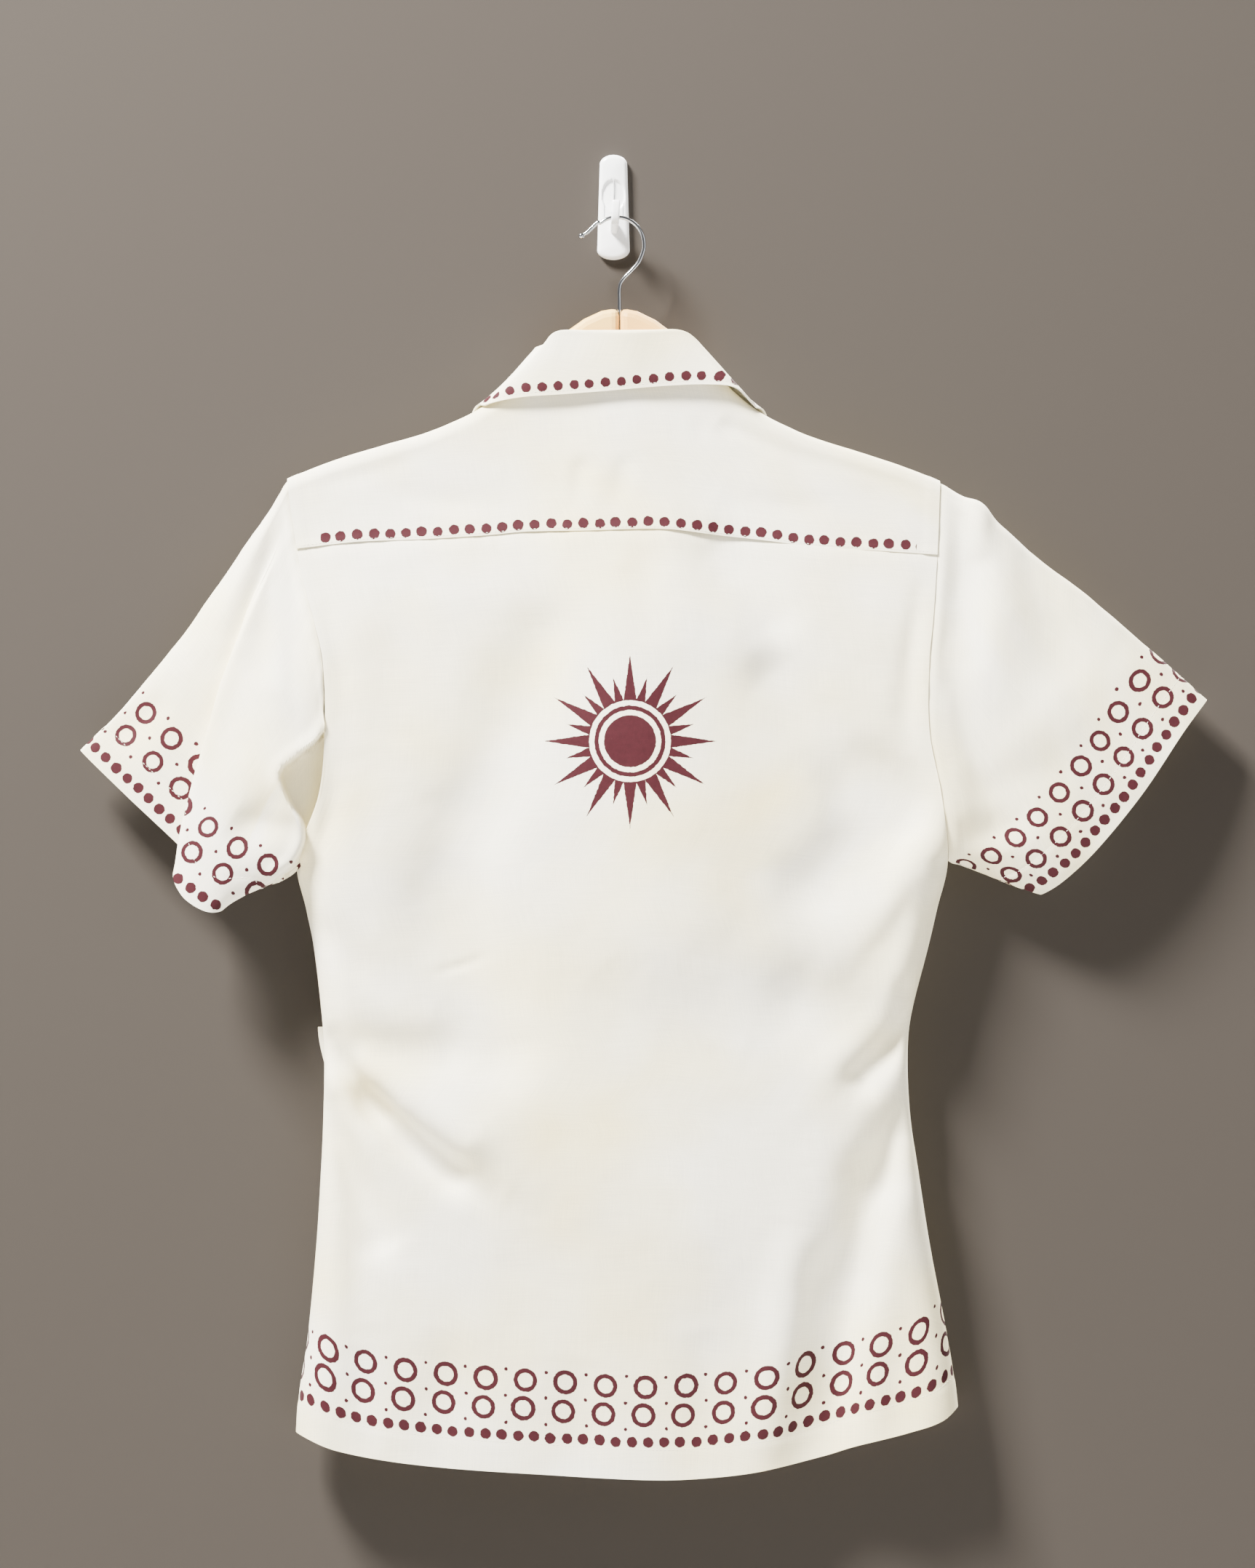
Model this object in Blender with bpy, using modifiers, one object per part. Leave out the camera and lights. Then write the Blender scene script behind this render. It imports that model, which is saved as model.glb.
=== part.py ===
"""Sun shirt on a wooden hanger and a wall hook: a short-sleeved shirt, hung with its back to the room.

Lengths are in millimetres, and become metres where a mesh is made. The origin is the middle of the
wall hook's back face. +Z is up, +Y goes into the wall, and the shirt's back faces -Y. The wearer's
left is at -X. Every cloth piece is a wall with its outer surface at the place given here.
"""

import math
from collections import namedtuple

import bmesh
import bpy
from mathutils import Vector

MM = 0.001

# Cloth and seams
WALL = 1.5
GAP = 0.3
ARMHOLE_GAP = 0.6
SHOULDER_GAP = 0.8
MID_Y = -24.0
WELD = 0.02

# Hanger
HANGER_X = 4.2
HANGER_THICK = 11.0
HANGER_DEEP = 27.0
HANGER_TILT = 0.012
HANGER_CLEAR = 0.6
HANGER_ROUND = 5.2
HANGER_HALF_WIDTH = 212.0
HANGER_MIDDLE_DEEP = HANGER_DEEP + 6.0
HANGER_END_DEEP = HANGER_DEEP - 9.0
HOLE_CLEAR = 0.4

# Shoulders and armholes
HANGER_SIDE_CLEAR = 1.3
CREST_RADIUS = HANGER_THICK / 2 + HANGER_SIDE_CLEAR + WALL
CREST_EASE = 110.0
UNDERARM_Z = -446.0
UNDERARM_ROUND = 60.0
SIDE_ROUND = 22.0
BODY_WIDE = 430.0
ARMHOLE_SHARE = 0.35
GUESS_LEFT = -215.0
GUESS_RIGHT = 222.0
GUESS_HALF = 218.0
FRONT_SEAM_DROP = 10.0

# Neck
NECK_BACK_Z = -112.0
NECK_FRONT_Z = -198.0
NECK_HALF = 63.0
NECK_TURN = 17.0
NECK_CURVE = 1.5
NECK_FOOT_DROP = 4.0
NECK_DIP = 1.8
NECK_DIP_OUT = 57.0
NECK_DIP_WIDE = 18.0
YOKE_CREST_START = 0.5
YOKE_CREST_STOP = 0.9
STAND_SHARE = 0.3
ROLL_SHARE = 0.55
COLLAR_ROLL = 2.6
STAND_LIFT = 0.9
ROLL_LIFT = 5.0
FALL_LIFT = 3.0

# Front opening
CENTRE_X = 4.0
OVERLAP = 14.0
OVERLAP_START_X = -50.0
OVERLAP_EASE = 40.0
OVERLAP_MARGIN = 3.0
BUTTON_RADIUS = 5.6
BUTTON_THICK = 2.6
BUTTON_TOP_Z = -222.0
BUTTON_PITCH = 96.0
BUTTON_COUNT = 6
BUTTON_CLEAR = 2 * GAP + 0.2

# Pocket on the left front
POCKET_TOP_Z = -556.0
POCKET_DEEP = 150.0
POCKET_INNER_X = -72.0
POCKET_CORNER = (-201.0, -558.5)
POCKET_WALL = 1.2
POCKET_LIFT = 0.8
POCKET_EDGE_TURN = 9.0

# Wire hook and wall hook
WIRE_RADIUS = 1.3
PLATE_HIGH = 71.5
PLATE_WIDE = 22.0
PLATE_NARROW = 18.6
PLATE_THICK = 6.0
PLATE_END_ROUND = 6.5
PLATE_BEVEL = 1.4
TONGUE_WIDE = 7.5
TONGUE_X = 2.6
TONGUE_BEVEL = 0.9

COTTON = (0.91, 0.89, 0.83)
WOOD = (0.83, 0.60, 0.36)
CHROME = (0.75, 0.76, 0.78)
PLASTIC = (0.86, 0.88, 0.90)
SHELL = (0.88, 0.86, 0.80)

# Top edge of the hanger: distance out from its middle, and height
HANGER_TOP = [
    (0, -70.0), (12, -72.0), (24, -77.6), (36, -86.2), (48, -98.0), (60, -111.0), (72, -123.4),
    (84, -134.0), (96, -142.4), (110, -149.6), (130, -158.0), (160, -167.2), (190, -176.6),
    (212, -185.2), (240, -198.0),
]

# Body sections: height, left and right edge, depth of the back and of the front from the middle
Section = namedtuple("Section", "z left right back front")
SECTIONS = [
    Section(-865, -216.0, 236.0, 19.0, 17.0),
    Section(-833, -215.0, 234.5, 19.0, 17.0),
    Section(-805, -213.0, 232.4, 19.0, 17.0),
    Section(-770, -207.6, 227.0, 19.5, 17.0),
    Section(-706, -201.5, 214.8, 20.5, 16.8),
    Section(-653, -198.2, 206.5, 21.5, 16.6),
    Section(-618, -196.7, 201.4, 22.5, 16.4),
    Section(-580, -196.1, 199.6, 23.5, 16.2),
    Section(-552, -197.6, 201.6, 24.0, 16.0),
    Section(-502, -203.5, 214.0, 24.5, 15.6),
    Section(-478, -208.4, 219.6, 24.5, 15.4),
    Section(-446, -214.5, 226.8, 24.0, 15.0),
    Section(-400, -199.0, 221.6, 23.5, 14.4),
    Section(-357, -195.0, 213.6, 22.5, 13.8),
    Section(-310, -196.4, 213.6, 21.0, 13.0),
    Section(-281, -203.0, 216.4, 19.5, 12.4),
    Section(-250, -211.4, 218.6, 17.5, 11.6),
    Section(-222, -216.4, 220.2, 15.5, 11.0),
    Section(-185, -221.0, 221.4, 12.5, 10.0),
    Section(-110, -224.0, 224.0, 11.0, 9.0),
]

# Hem and yoke seam: place across, and height
HEM = [
    (-216, -832.0), (-187, -844.0), (-130, -853.8), (-48, -860.0), (28, -863.8), (66, -862.2),
    (98, -858.3), (130, -851.4), (160, -842.0), (200, -831.7), (223, -823.8), (235, -814.0),
]
YOKE_SEAM = [
    (-216, -233.8), (-174, -229.0), (-130, -227.3), (-86, -224.6), (-60, -222.2), (-20, -221.5),
    (34, -220.4), (67, -224.0), (106, -228.5), (138, -232.6), (185, -235.4), (218, -237.6),
]
FRONT_HEM_LIFT = 5.0

# Folds: two ends, half width, and height towards the viewer (a trough is negative)
Fold = namedtuple("Fold", "x1 z1 x2 z2 wide high")
BACK_FOLDS = [
    Fold(-192, -570, -160, -610, 11, -4.5),
    Fold(-160, -610, -110, -652, 14, -4.0),
    Fold(-168, -585, -100, -635, 16, 3.0),
    Fold(-192, -614, -160, -700, 13, -3.0),
    Fold(-112, -470, -80, -570, 30, -4.0),
    Fold(-115, -574, -170, -575, 18, -3.0),
    Fold(201, -541, 168, -590, 12, -4.5),
    Fold(130, -540, 175, -560, 26, -4.5),
    Fold(196, -606, 175, -660, 15, -3.5),
    Fold(175, -660, 150, -735, 20, -3.5),
    Fold(150, -735, 124, -850, 22, -4.0),
    Fold(110, -322, 168, -390, 20, -4.0),
    Fold(168, -390, 190, -410, 22, -4.5),
    Fold(190, -410, 138, -462, 24, -4.5),
    Fold(76, -236, 106, -280, 18, -2.5),
    Fold(-48, -295, -96, -416, 26, -2.5),
    Fold(-96, -416, -118, -490, 26, -2.5),
    Fold(-60, -620, 40, -700, 60, 3.0),
    Fold(20, -300, 30, -480, 60, 3.5),
    Fold(-118, -160, -194, -184, 10, -1.6),
    Fold(66, -150, 126, -170, 12, -1.6),
    Fold(126, -170, 200, -190, 12, -1.8),
]
FRONT_FOLDS = [
    Fold(-150, -560, -60, -640, 24, 3.0),
    Fold(160, -540, 60, -640, 26, 3.0),
    Fold(-120, -260, -150, -420, 24, 2.5),
    Fold(110, -250, 150, -430, 24, 2.5),
    Fold(-90, -700, -110, -850, 22, 2.5),
    Fold(100, -690, 128, -840, 24, 2.5),
]

# Lines down a sleeve: place round the armhole (0 and 1 shoulder, 0.5 underarm), place of the line's
# foot on the cuff, and how far its middle bows away from a straight line
Line = namedtuple("Line", "arm x y z bow_x bow_y bow_z")
RIGHT_SLEEVE = [
    Line(0.00, 402.5, -25, -336.0, 0, 0, 4.0),
    Line(0.12, 386.0, -35, -358.0, 0, -2, 0),
    Line(0.23, 358.0, -40, -399.5, 0, -3, 0),
    Line(0.35, 327.0, -40, -437.5, 0, -2, 0),
    Line(0.44, 303.0, -36, -460.0, 0, 0, 0),
    Line(0.50, 289.8, -27, -467.0, 0, 0, 0),
    Line(0.60, 318.0, -15, -444.0, 0, 1, 0),
    Line(0.76, 354.0, -12, -399.0, 0, 2, 0),
    Line(0.90, 388.0, -15, -352.0, 0, 1, 2.0),
]
LEFT_SLEEVE = [
    Line(0.00, -360.6, -24, -371.2, 0, 0, -12.0),
    Line(0.05, -330.0, -30, -401.0, -4, -2, -6),
    Line(0.085, -294.0, -32, -436.0, -12, -2, 0),
    Line(0.10, -291.0, -40, -441.0, -14, -2, 0),
    Line(0.12, -296.0, -50, -447.0, -14, -4, 0),
    Line(0.17, -287.0, -58, -470.0, -10, -4, 0),
    Line(0.25, -272.0, -61, -481.0, -8, -6, 0),
    Line(0.33, -242.0, -60, -467.0, -8, -6, 0),
    Line(0.42, -212.0, -53, -442.0, -8, -3, 0),
    Line(0.50, -246.0, -36, -456.0, -2, 0, 0),
    Line(0.60, -270.0, -19, -432.0, 0, 0, 0),
    Line(0.78, -312.0, -13, -402.0, 0, 1, -6),
    Line(0.93, -347.0, -17, -380.5, 0, 1, -10),
]

# Collar sections, from the left front round the back: neck seam, top of the roll, edge of the fall
CollarRow = namedtuple("CollarRow", "neck roll edge")
COLLAR = [
    CollarRow((-4, -11, -200), (-6, -10, -191), (-56, -8, -220)),
    CollarRow((-36, -12, -176), (-29, -12, -163), (-84, -9, -189)),
    CollarRow((-57, -13, -150), (-47, -14, -135), (-97, -11, -164)),
    CollarRow((-64, -17, -128), (-52, -18, -111), (-97, -17, -147)),
    CollarRow((-62, -24, -116), (-46, -25, -102), (-92, -25, -139)),
    CollarRow((-56, -31, -112), (-41, -32, -95), (-84, -34, -135)),
    CollarRow((-38, -34, -112), (-34, -36, -86.5), (-62, -38, -131)),
    CollarRow((-16, -34, -112), (-15, -37, -85.8), (-32, -39, -129)),
    CollarRow((4, -34, -112), (4, -37, -85.6), (0, -39, -126.5)),
    CollarRow((26, -34, -112), (25, -37, -85.4), (34, -39, -123.6)),
    CollarRow((47, -34, -112), (42, -36, -86.0), (64, -40, -122.5)),
    CollarRow((64, -31, -112), (52, -32, -92), (84, -40, -125)),
    CollarRow((70, -24, -116), (57, -25, -99), (97, -30, -137)),
    CollarRow((72, -17, -128), (60, -18, -111), (105, -17, -147)),
    CollarRow((65, -13, -150), (55, -14, -135), (105, -11, -164)),
    CollarRow((44, -12, -176), (37, -12, -163), (92, -9, -189)),
    CollarRow((12, -11, -200), (14, -10, -191), (64, -8, -220)),
]

# Centre line of the wire hook after its tip, across and height
WIRE_TIP = [(-21.8, -21.0), (-18.2, -18.9), (-14.8, -15.6), (-10.6, -11.7)]
WIRE_ROUND = (2.4, -26.9)
WIRE_ROUND_RADIUS = 18.6
WIRE_NECK = [(17.6, -38.3), (12.4, -44.4), (7.4, -49.4), (4.7, -53.8), (4.0, -59.5), (4.1, -66.0)]
WIRE_FOOT_Z = -88.0
WIRE_ARC = (128.0, -12.0)
WIRE_ARC_STEPS = 12
WIRE_TIP_SWELL = 1.5

# Side view of the tongue: depth from the wall, and height. The wire hangs 0.6 above its level part.
TONGUE = [
    (-4.0, -11.2), (-20.0, -10.2), (-25.6, -10.2), (-25.8, 3.2), (-27.2, 4.2), (-28.8, 3.2),
    (-29.4, -12.2), (-27.2, -15.2), (-4.0, -19.7),
]

# Rounded end of the hanger: distance in from the end, and down from the top
HANGER_TIP = [(6.0, 0.0), (0.0, 5.0), (0.0, 13.0), (6.0, 18.0)]

# Button's outer line: distance in from its rim, and share of its height
BUTTON_LINE = [(0.6, 1.0), (0.0, 0.5), (0.8, 0.0)]


def clear_scene():
    for item in list(bpy.data.objects):
        bpy.data.objects.remove(item, do_unlink=True)


def read_curve(rows, at):
    """Value at a place on the smooth curve through rows of (place, value), sorted by place."""
    last = len(rows) - 1
    if at <= rows[0][0]:
        return rows[0][1]
    if at >= rows[last][0]:
        return rows[last][1]
    k = next(i for i in range(last) if at <= rows[i + 1][0])

    def slope(i):
        low, high = max(i - 1, 0), min(i + 1, last)
        return (rows[high][1] - rows[low][1]) / (rows[high][0] - rows[low][0])

    step = rows[k + 1][0] - rows[k][0]
    w = (at - rows[k][0]) / step
    ease = w * w * (3 - 2 * w)
    start = (w - 2 * w * w + w ** 3) * step * slope(k)
    stop = (w ** 3 - w * w) * step * slope(k + 1)
    return rows[k][1] + (rows[k + 1][1] - rows[k][1]) * ease + start + stop


def read_chain(points, at, closed=False):
    """Point at a place (0 to the number of points) on the smooth chain through a list of points."""
    count = len(points)
    k = int(math.floor(at))
    if not closed:
        k = min(max(k, 0), count - 2)
    w = at - k

    def near(i):
        return Vector(points[i % count] if closed else points[min(max(i, 0), count - 1)])

    a, b, c, d = near(k - 1), near(k), near(k + 1), near(k + 2)
    return 0.5 * (2 * b + (c - a) * w + (2 * a - 5 * b + 4 * c - d) * w * w
                  + (3 * b - a - 3 * c + d) * w ** 3)


def ease(w):
    w = min(max(w, 0.0), 1.0)
    return w * w * (3 - 2 * w)


def quarter_round(w):
    """Height of a quarter circle of radius 1 at a distance w in from its foot."""
    w = min(max(w, 0.0), 1.0)
    return math.sqrt(max(1 - (1 - w) ** 2, 0.0))


def mix(a, b, w):
    return a + (b - a) * w


SECTION_COLUMNS = {
    name: [(row.z, getattr(row, name)) for row in SECTIONS] for name in ("left", "right", "back", "front")
}


def edge_x(side, z):
    """Left (-1) or right (1) edge of the body at a height."""
    return read_curve(SECTION_COLUMNS["left" if side < 0 else "right"], z)


def hanger_top(x):
    out = x - HANGER_X
    return read_curve(HANGER_TOP, abs(out)) - HANGER_TILT * out


def wood_top(x):
    """Top of the wood, which is a little lower under the neck seam than the line of the cloth."""
    return hanger_top(x) - NECK_DIP * math.exp(-((abs(x - HANGER_X) - NECK_DIP_OUT) / NECK_DIP_WIDE) ** 2)


def steepness(x):
    """Cosine of the shoulder's slope."""
    slope = (hanger_top(x + 1.0) - hanger_top(x - 1.0)) / 2.0
    return 1 / math.sqrt(1 + slope * slope)


def crest_z(x):
    """Top of the cloth where it lies over the hanger."""
    return hanger_top(x) + (HANGER_CLEAR + WALL) / steepness(x)


def fold_height(folds, x, z):
    total = 0.0
    for fold in folds:
        run = Vector((fold.x2 - fold.x1, fold.z2 - fold.z1))
        away = Vector((x - fold.x1, z - fold.z1))
        along = away.dot(run) / run.length_squared
        off = abs(run.x * away.y - run.y * away.x) / run.length
        past = max(-along, along - 1, 0.0) * run.length
        total += fold.high * math.exp(-(off / fold.wide) ** 2 - (past / fold.wide) ** 2)
    return total


def half_depth(layer, x, z):
    """Distance of the back (-1) or front (1) layer from the middle plane."""
    drop = (crest_z(x) - z) * steepness(x)
    base = read_curve(SECTION_COLUMNS["back" if layer < 0 else "front"], z)
    deep = mix(CREST_RADIUS, base, ease((drop - CREST_RADIUS) / CREST_EASE))
    top = quarter_round(drop / CREST_RADIUS)
    inside = min(x - edge_x(-1, z), edge_x(1, z) - x)
    armhole = quarter_round((z - UNDERARM_Z) / UNDERARM_ROUND)
    side = mix(armhole, 1.0, quarter_round(inside / SIDE_ROUND))
    folds = fold_height(BACK_FOLDS if layer < 0 else FRONT_FOLDS, x, z)
    folds *= quarter_round(inside / SIDE_ROUND) * ease(drop / CREST_EASE)
    return deep * top * side + folds


def layer_y(layer, x, z):
    seam = GAP / 2 * ease((crest_z(x) - z) / CREST_EASE)
    return MID_Y + layer * (half_depth(layer, x, z) + seam)


def overlap_lift(x):
    """How far the left front stands out where it passes over the right one."""
    return (WALL + GAP) * ease((x - OVERLAP_START_X) / OVERLAP_EASE)


def outside(point, lift):
    """The point, moved out of the shoulders' cloth until it clears their outer surface by lift."""
    x, y, z = point
    cosine = steepness(x)
    axis_z = crest_z(x) - CREST_RADIUS / cosine
    layer = -1 if y < MID_Y else 1
    if layer > 0 and x < CENTRE_X + OVERLAP + OVERLAP_MARGIN:
        lift += overlap_lift(x)
    if z > axis_z:
        up, out = (z - axis_z) * cosine, y - MID_Y
        reach = math.hypot(up, out)
        need = CREST_RADIUS + lift
        if reach < need and reach > 0:
            up, out = up * need / reach, out * need / reach
        return Vector((x, MID_Y + out, axis_z + up / cosine))
    need = half_depth(layer, x, z) + lift
    return Vector((x, MID_Y + layer * max(abs(y - MID_Y), need), z))


def collection_for(name):
    made = bpy.data.collections.new(name)
    bpy.context.scene.collection.children.link(made)
    return made


def material(name, colour, rough, metal=0.0):
    made = bpy.data.materials.new(name)
    made.use_nodes = True
    shader = made.node_tree.nodes["Principled BSDF"]
    shader.inputs["Base Color"].default_value = (*colour, 1.0)
    shader.inputs["Roughness"].default_value = rough
    shader.inputs["Metallic"].default_value = metal
    made.diffuse_color = (*colour, 1.0)
    return made


def make_object(name, mesh, finish, group):
    mesh.shade_smooth()
    mesh.set_sharp_from_angle(angle=math.radians(40))
    made = bpy.data.objects.new(name, mesh)
    made.data.materials.append(finish)
    group.objects.link(made)
    return made


def facing(place, a, b, step=0.002):
    """Unit normal of a surface at (a, b), from the places just beside it."""
    a0, a1 = max(a - step, 0.0), min(a + step, 1.0)
    b0, b1 = max(b - step, 0.0), min(b + step, 1.0)
    across = place(a1, b) - place(a0, b)
    down = place(a, b1) - place(a, b0)
    return across.cross(down).normalized()


def cloth(name, place, across, down, finish, group, turn=1, edge=None, closed=False, wall=WALL):
    """A cloth wall: a grid bent to place(a, b), and thickened inwards.

    across and down are the grid lines' places, from 0 to 1. turn is 1 or -1, whichever makes the
    surface's normal point inwards. edge(a, b, normal) may correct the normal at a seam.
    """
    bm = bmesh.new()
    bmesh.ops.create_grid(bm, x_segments=len(across) - 1, y_segments=len(down) - 1, size=0.5)
    inner = bm.verts.layers.float_vector.new("inner")
    for vert in bm.verts:
        a = across[round((vert.co.x + 0.5) * (len(across) - 1))]
        b = down[round((vert.co.y + 0.5) * (len(down) - 1))]
        inward = facing(place, a, b) * turn
        if edge:
            inward = edge(a, b, inward).normalized()
        outer = place(a, b)
        vert.co = outer * MM
        vert[inner] = (outer + inward * wall) * MM
    if closed:
        bmesh.ops.remove_doubles(bm, verts=bm.verts, dist=WELD * MM)
    copied = bmesh.ops.extrude_face_region(bm, geom=bm.faces[:])
    for part in copied["geom"]:
        if isinstance(part, bmesh.types.BMVert):
            part.co = part[inner]
    bmesh.ops.recalc_face_normals(bm, faces=bm.faces)
    mesh = bpy.data.meshes.new(name)
    bm.to_mesh(mesh)
    bm.free()
    mesh.attributes.remove(mesh.attributes["inner"])
    return make_object(name, mesh, finish, group)


def even(count):
    return [i / count for i in range(count + 1)]


def rolled(width, middle, both=True):
    """Grid lines across a panel: close together in the rounded side, even in between."""
    steps = [SIDE_ROUND * (1 - math.cos(math.radians(a))) / width for a in (0, 30, 60, 90)]
    stop = 1 - steps[-1] if both else 1.0
    inside = [mix(steps[-1], stop, i / middle) for i in range(1, middle)]
    return steps + inside + ([1 - s for s in reversed(steps)] if both else [1.0])


def panel_rows(upper, lower):
    """Grid lines down a panel, closer together beside the armholes than below them."""
    above = [mix(0.0, ARMHOLE_SHARE, i / upper) for i in range(upper)]
    return above + [mix(ARMHOLE_SHARE, 1.0, i / lower) for i in range(lower + 1)]


def panel_seams(place, side_of):
    """Seam rule of a body panel: square to the side seam, and level at the top seam and hem."""

    def correct(a, b, inward):
        side = side_of(a)
        if side and place(a, b).z < UNDERARM_Z:
            inward = Vector((-side, 0, 0))
        elif side:
            inward = Vector((min(inward.x * side, 0) * side, inward.y, 0))
        if b <= 0 or b >= 1:
            inward = Vector((inward.x, inward.y, 0))
        return inward

    return correct


def make_back(finish, group):
    def place(a, b):
        x = mix(GUESS_LEFT, GUESS_RIGHT, a)
        for _ in range(2):
            top = read_curve(YOKE_SEAM, x) - GAP / 2
            z = mix(top, read_curve(HEM, x), b)
            x = mix(edge_x(-1, z), edge_x(1, z), a)
        return Vector((x, layer_y(-1, x, z), z))

    seams = panel_seams(place, lambda a: -1 if a <= 0 else 1 if a >= 1 else 0)
    return cloth("back", place, rolled(BODY_WIDE, 20), panel_rows(14, 17), finish, group, edge=seams)


def make_front(name, side, finish, group):
    """One front: the left one lies over the right one at the centre."""
    over = side < 0
    centre = CENTRE_X + OVERLAP * (1 if over else -1)

    def top_z(x):
        out = abs(x - HANGER_X)
        cosine = steepness(x)
        seam = crest_z(x) - CREST_RADIUS / cosine - FRONT_SEAM_DROP - SHOULDER_GAP
        turn = NECK_HALF + NECK_TURN
        if out >= turn:
            return seam
        foot = crest_z(HANGER_X + side * turn) - CREST_RADIUS - FRONT_SEAM_DROP - NECK_FOOT_DROP
        return mix(NECK_FRONT_Z, foot, (out / turn) ** NECK_CURVE)

    def place(a, b):
        x = mix(GUESS_HALF * side, centre, a)
        for _ in range(2):
            hem = read_curve(HEM, x) + FRONT_HEM_LIFT * (1 - (x / HEM[-1][0]) ** 2)
            z = mix(top_z(x), hem, b)
            x = mix(edge_x(side, z), centre, a)
        return Vector((x, layer_y(1, x, z) + (overlap_lift(x) if over else 0.0), z))

    seams = panel_seams(place, lambda a: side if a <= 0 else 0)
    across = rolled(BODY_WIDE / 2, 10, both=False)
    return cloth(name, place, across, panel_rows(13, 14), finish, group, turn=side, edge=seams)


def make_yoke(finish, group):
    def path_point(x, a):
        """Point at a share a of the way from the back seam over the crest to the front seam."""
        cosine = steepness(x)
        axis_z = crest_z(x) - CREST_RADIUS / cosine
        if a < YOKE_CREST_START:
            z = mix(read_curve(YOKE_SEAM, x) + GAP / 2, axis_z, a / YOKE_CREST_START)
            return Vector((x, layer_y(-1, x, z), z))
        if a < YOKE_CREST_STOP:
            turn = math.pi * (a - YOKE_CREST_START) / (YOKE_CREST_STOP - YOKE_CREST_START)
            y = MID_Y - CREST_RADIUS * math.cos(turn)
            return Vector((x, y, axis_z + CREST_RADIUS / cosine * math.sin(turn)))
        z = axis_z - FRONT_SEAM_DROP * (a - YOKE_CREST_STOP) / (1 - YOKE_CREST_STOP)
        return Vector((x, layer_y(1, x, z), z))

    def path_end(x):
        out = abs(x - HANGER_X)
        cosine = steepness(x)
        axis_z = crest_z(x) - CREST_RADIUS / cosine
        seam = read_curve(YOKE_SEAM, x)
        neck = YOKE_CREST_START * min((NECK_BACK_Z - seam) / (axis_z - seam), 1.0)
        return mix(neck, 1.0, ease((out - NECK_HALF + NECK_TURN) / (2 * NECK_TURN)))

    def place(a, b):
        guess = mix(GUESS_LEFT, GUESS_RIGHT, a)
        point = path_point(guess, b * path_end(guess))
        x = mix(edge_x(-1, point.z), edge_x(1, point.z), a)
        return path_point(x, b * path_end(x))

    def correct(a, b, inward):
        if b <= 0 or b >= 1 and path_end(place(a, b).x) >= 1:
            inward = Vector((inward.x, inward.y, 0))
        if a <= 0 or a >= 1:
            inward = Vector((0, inward.y, inward.z))
        return inward

    flat = [i / 4 * YOKE_CREST_START for i in range(4)]
    arc = [mix(YOKE_CREST_START, YOKE_CREST_STOP, i / 7) for i in range(8)]
    outs = [0, 20, 38, 48, 54, 59, 63, 67, 71, 75, 80, 87, 96, 107, 120, 137, 158, 180, 202]
    width = 440.0
    left = [0.0] + [0.5 + (HANGER_X - out) / width for out in reversed(outs)]
    right = [0.5 + (HANGER_X + out) / width for out in outs[1:]] + [1.0]
    across = left + right
    return cloth("yoke", place, across, flat + arc + [1.0], finish, group, turn=-1, edge=correct)


def armhole(side, share):
    """Point on the armhole's seam: share 0 and 1 is the shoulder, 0.5 the underarm."""
    top_x = edge_x(side, crest_z(side * 220.0))
    top_z = crest_z(top_x)
    z = mix(top_z, UNDERARM_Z, (1 - math.cos(2 * math.pi * share)) / 2)
    x = edge_x(side, z)
    layer = -1 if share % 1 < 0.5 else 1
    return Vector((x + side * ARMHOLE_GAP, MID_Y + layer * half_depth(layer, x, z), z))


def make_sleeve(name, side, lines, per_line, finish, group):
    count = len(lines)
    feet = [(row.x, row.y, row.z) for row in lines]
    bows = [(row.bow_x, row.bow_y, row.bow_z) for row in lines]
    arms = [(i, row.arm) for i, row in enumerate(lines)] + [(count, 1.0)]

    def place(a, b):
        at = a * count
        start = armhole(side, read_curve(arms, at))
        foot = read_chain(feet, at % count, closed=True)
        bow = read_chain(bows, at % count, closed=True)
        return start.lerp(foot, b) + bow * 4 * b * (1 - b)

    def correct(a, b, inward):
        if b <= 0:
            inward = Vector((0, inward.y, inward.z))
        return inward

    return cloth(name, place, even(count * per_line), even(9), finish, group,
                 turn=-side, edge=correct, closed=True)


def make_collar(finish, group):
    rows = len(COLLAR)

    def place(a, b):
        at = a * (rows - 1)
        neck, roll, edge = (read_chain([getattr(row, name) for row in COLLAR], at)
                            for name in ("neck", "roll", "edge"))
        up = (roll - neck).normalized()
        out = (edge - roll) - up * (edge - roll).dot(up)
        out.normalize()
        centre = roll - up * COLLAR_ROLL + out * COLLAR_ROLL
        foot = centre - out * COLLAR_ROLL
        if b < STAND_SHARE:
            return outside(neck.lerp(foot, b / STAND_SHARE), STAND_LIFT)
        if b < ROLL_SHARE:
            w = (b - STAND_SHARE) / (ROLL_SHARE - STAND_SHARE)
            turn = math.pi * w
            arc = centre - out * COLLAR_ROLL * math.cos(turn) + up * COLLAR_ROLL * math.sin(turn)
            return outside(arc, mix(STAND_LIFT, ROLL_LIFT, w))
        w = (b - ROLL_SHARE) / (1 - ROLL_SHARE)
        fall = (centre + out * COLLAR_ROLL).lerp(edge, w)
        return outside(fall, mix(ROLL_LIFT, FALL_LIFT, w))

    down = [mix(0, STAND_SHARE, i / 2) for i in range(2)]
    down += [mix(STAND_SHARE, ROLL_SHARE, i / 4) for i in range(4)]
    down += [mix(ROLL_SHARE, 1.0, i / 3) for i in range(4)]
    return cloth("collar", place, even(40), down, finish, group, turn=1)


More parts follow.
